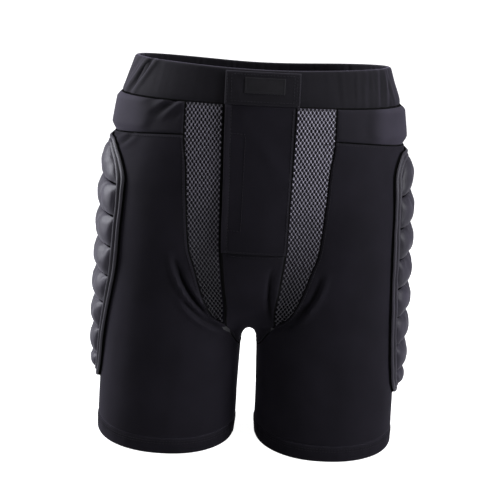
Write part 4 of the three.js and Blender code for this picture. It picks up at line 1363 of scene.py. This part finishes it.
z = mix(FLY_SEAM + BUTT, WAIST_SEAM - BUTT, v)
p = from_front(mix(-flap_half(z) - 3.0, WAIST_JOIN, u), z)
relief = np.minimum(0.15 * waves(p, 40, 47), 0.2)
panel("fly_underlap_cloth", p, -4.5, -2.7, LEFT, cloth, relief, "shorts", "shell", "fly_underlap")
u, v = np.meshgrid(np.linspace(0, 1, 7), spaced(WAIST_SEAM - FLY_SEAM, 2.4))
z = mix(FLY_SEAM + BUTT, WAIST_SEAM - BUTT, v)
p = from_front(mix(WAIST_JOIN - 3.0, strip_inner(z) + 4.0, u), z)
panel("fly_stay_cloth", p, -2.45, -2.1, LEFT, cloth, 0.0, "shorts", "shell")


TUFT_STEP, TUFT_REPEAT = 0.12, 2  # slope of a row of tufts, and where the next one starts


def grip_tape(name, p, low, high, body, node):
    """Hook or loop tape: a thin woven base whose face steps down in slanting rows."""
    tufts = (TUFT_STEP * np.indices(p.shape[:2]).sum(axis=0)) % TUFT_REPEAT * 0.1
    own(sheet(name, p, low, high - tufts, LEFT, hook_tape), body, "tape", node)


fly_tape = front_patch(-34, -16, 283, 391, 1.4, 0.4)
grip_tape("fly_hooks", fly_tape, -1.2, -0.3, "flap", "fly_hook_tape")
grip_tape("fly_loops", fly_tape, -2.4, -1.5, "shorts", "fly_loop_tape")
tab_tape = front_patch(-38, -12, 428, 454, 1.4, 0.4)
grip_tape("waist_loops", tab_tape, 0.3, 1.0, "shorts", "waist_loop_tape")
grip_tape("tab_hooks", tab_tape, 1.3, 2.0, "flap", "tab_hook_tape")

p = front_patch(-TAB_FREE_EDGE, TAB_HALF_WIDTH, band_low, TAB_TOP, 1.9)
relief = 0.18 * waves(p, 40, 53) + fold(p, (-36, 459), (-20, 425), 4.0, 0.35)
relief = np.maximum(relief, 0)
panel("waist_tab_cloth", p, FLAP_HIGH + 0.02, TAB_HIGH, LEFT, band_cloth, relief, "flap", "shell",
      "waist_tab")
p = front_patch(-19, 25, 436, 453, 1.2, 0.5)
rim = np.ones(p.shape[:2])
rim[2:-2, 2:-2] = 0
patch = sheet("tab_patch_moulded", p, TAB_HIGH + 0.2, TAB_HIGH + 0.75, LEFT, patch_skin, 0.3 * rim)
own(patch, "flap", "patch", "tab_patch")


def front_line(x0, z0, x1, z1, count=40):
    t = np.linspace(0, 1, count)
    return from_front(mix(x0, x1, t), mix(z0, z1, t))


def box_stitch(x0, x1, z0, z1, height, body):
    for line in ((x0, z0, x1, z0), (x1, z0, x1, z1), (x1, z1, x0, z1), (x0, z1, x0, z0)):
        stitch_path(front_line(*line), height, LEFT, body)


box_stitch(-33.5, 35, 427, 456, TAB_HIGH + 0.2, "flap")
for x in (38, 40.6, -38.2):
    stitch_path(front_line(x, 425, x, 458), TAB_HIGH + 0.2, LEFT, "flap")
box_stitch(-34.4, -15.6, 282.4, 391.6, FLAP_HIGH + 0.3, "flap")
edge_z = np.linspace(FLY_SEAM + 4, WAIST_SEAM - 2, 90)
stitch_path(from_front(-flap_half(edge_z) + FACING_STITCHES, edge_z), FLAP_HIGH + 0.3, LEFT, "flap")
hinge_x = np.minimum(flap_half(edge_z), FLAP_HINGE_EDGE)
stitch_path(from_front(hinge_x - 2.6, edge_z), FLAP_HIGH + 0.3, LEFT, "flap")
stitch_path(front_line(-33, FLY_SEAM - 3.0, 33, FLY_SEAM - 3.0), 0.3, LEFT)
stitch_path(front_line(-33, FLY_SEAM + 3.2, 33, FLY_SEAM + 3.2), FLAP_HIGH + 0.3, LEFT, "flap")
for side in (LEFT, RIGHT):
    for turn in (np.linspace(-1.0, -0.05, 110), np.linspace(0.05, math.pi / 2 - 0.02, 130)):
        y = around(0.0, turn, 380.0)[..., 1]
        stitch_path(around(0.0, turn, seam_height(y) - 3.2), 0.4, side)

for body, (verts, faces) in threads.items():
    made = object_from(f"stitches_{body}", np.concatenate(verts), faces, LEFT, sewing, 0)
    own(made, body, "binding")

# ------------------------------------------------------------------ floor, backdrop and light
FLOOR_LIFT = -0.0002
FLOOR_RADIUS, CURVE_RADIUS, WALL_TOP = 3.0, 1.5, 6.0
SEEN_GLOW = 1.0  # how white the backdrop looks to the camera
CAST_GLOW = 0.10  # and how much of that it sheds on the shorts


def backdrop():
    """A pale round floor that curves up into a wall, in one sheet."""
    bend_angles = np.linspace(0, math.pi / 2, 13)
    curve_out = FLOOR_RADIUS + CURVE_RADIUS * np.sin(bend_angles)
    curve_up = CURVE_RADIUS * (1 - np.cos(bend_angles))
    radius = np.concatenate([[0.02], curve_out, [FLOOR_RADIUS + CURVE_RADIUS]])
    height = np.concatenate([[0.0], curve_up, [WALL_TOP]]) + FLOOR_LIFT
    turn = np.linspace(0, 2 * math.pi, 97)[:-1]
    rings = np.stack([radius[:, None] * np.cos(turn), radius[:, None] * np.sin(turn),
                      np.broadcast_to(height[:, None], (len(radius), len(turn)))], axis=-1)
    mesh = bpy.data.meshes.new("backdrop")
    faces = grid_faces(len(radius), len(turn), closed=True) + [list(range(len(turn)))]
    mesh.from_pydata(rings.reshape(-1, 3).tolist(), [], faces)
    mesh.update()
    mesh.shade_smooth()
    obj = placed("backdrop", mesh)
    paper = fabric("paper", (0.34, 0.34, 0.345), (0.38, 0.38, 0.385), period=3, relief=0.01,
                   roughness=0.8, sheen=0.0, patch=0.6, wear=0.0)
    tree = paper.node_tree
    shader = tree.nodes["Principled BSDF"].inputs
    seen = make_node(tree, "LightPath", "Is Camera Ray")
    glow = make_node(tree, "MapRange", Value=seen, To_Min=CAST_GLOW, To_Max=SEEN_GLOW)
    tree.links.new(glow, shader["Emission Strength"])
    shader["Emission Color"].default_value = (1, 1, 1, 1)
    mesh.materials.append(paper)


def softbox(name, place, aim, size, power, colour=(1.0, 1.0, 1.0)):
    data = bpy.data.lights.new(name, "AREA")
    data.shape = "RECTANGLE"
    data.size, data.size_y = size
    data.energy = power
    data.color = colour
    light = placed(name, data)
    light.location = place
    light.rotation_euler = (Vector(aim) - Vector(place)).to_track_quat("-Z", "Y").to_euler()


backdrop()
middle = (0.0, 0.0, 0.24)
softbox("key_left", (-1.6, 0.28, 1.0), middle, (0.7, 1.4), 88, (0.93, 0.94, 1.0))
softbox("key_right", (1.55, -0.75, 1.0), middle, (0.7, 1.4), 66, (0.94, 0.95, 1.0))
softbox("overhead", (0.0, 0.1, 2.2), middle, (1.6, 1.4), 48)
softbox("front", (0.8, -2.2, 0.9), middle, (1.0, 1.0), 7)
world = bpy.context.scene.world or bpy.data.worlds.new("world")
bpy.context.scene.world = world
world.use_nodes = True
world.node_tree.nodes["Background"].inputs["Color"].default_value = (0.93, 0.94, 1.0, 1.0)
world.node_tree.nodes["Background"].inputs["Strength"].default_value = 0.10
bpy.context.scene.view_settings.view_transform = "Standard"
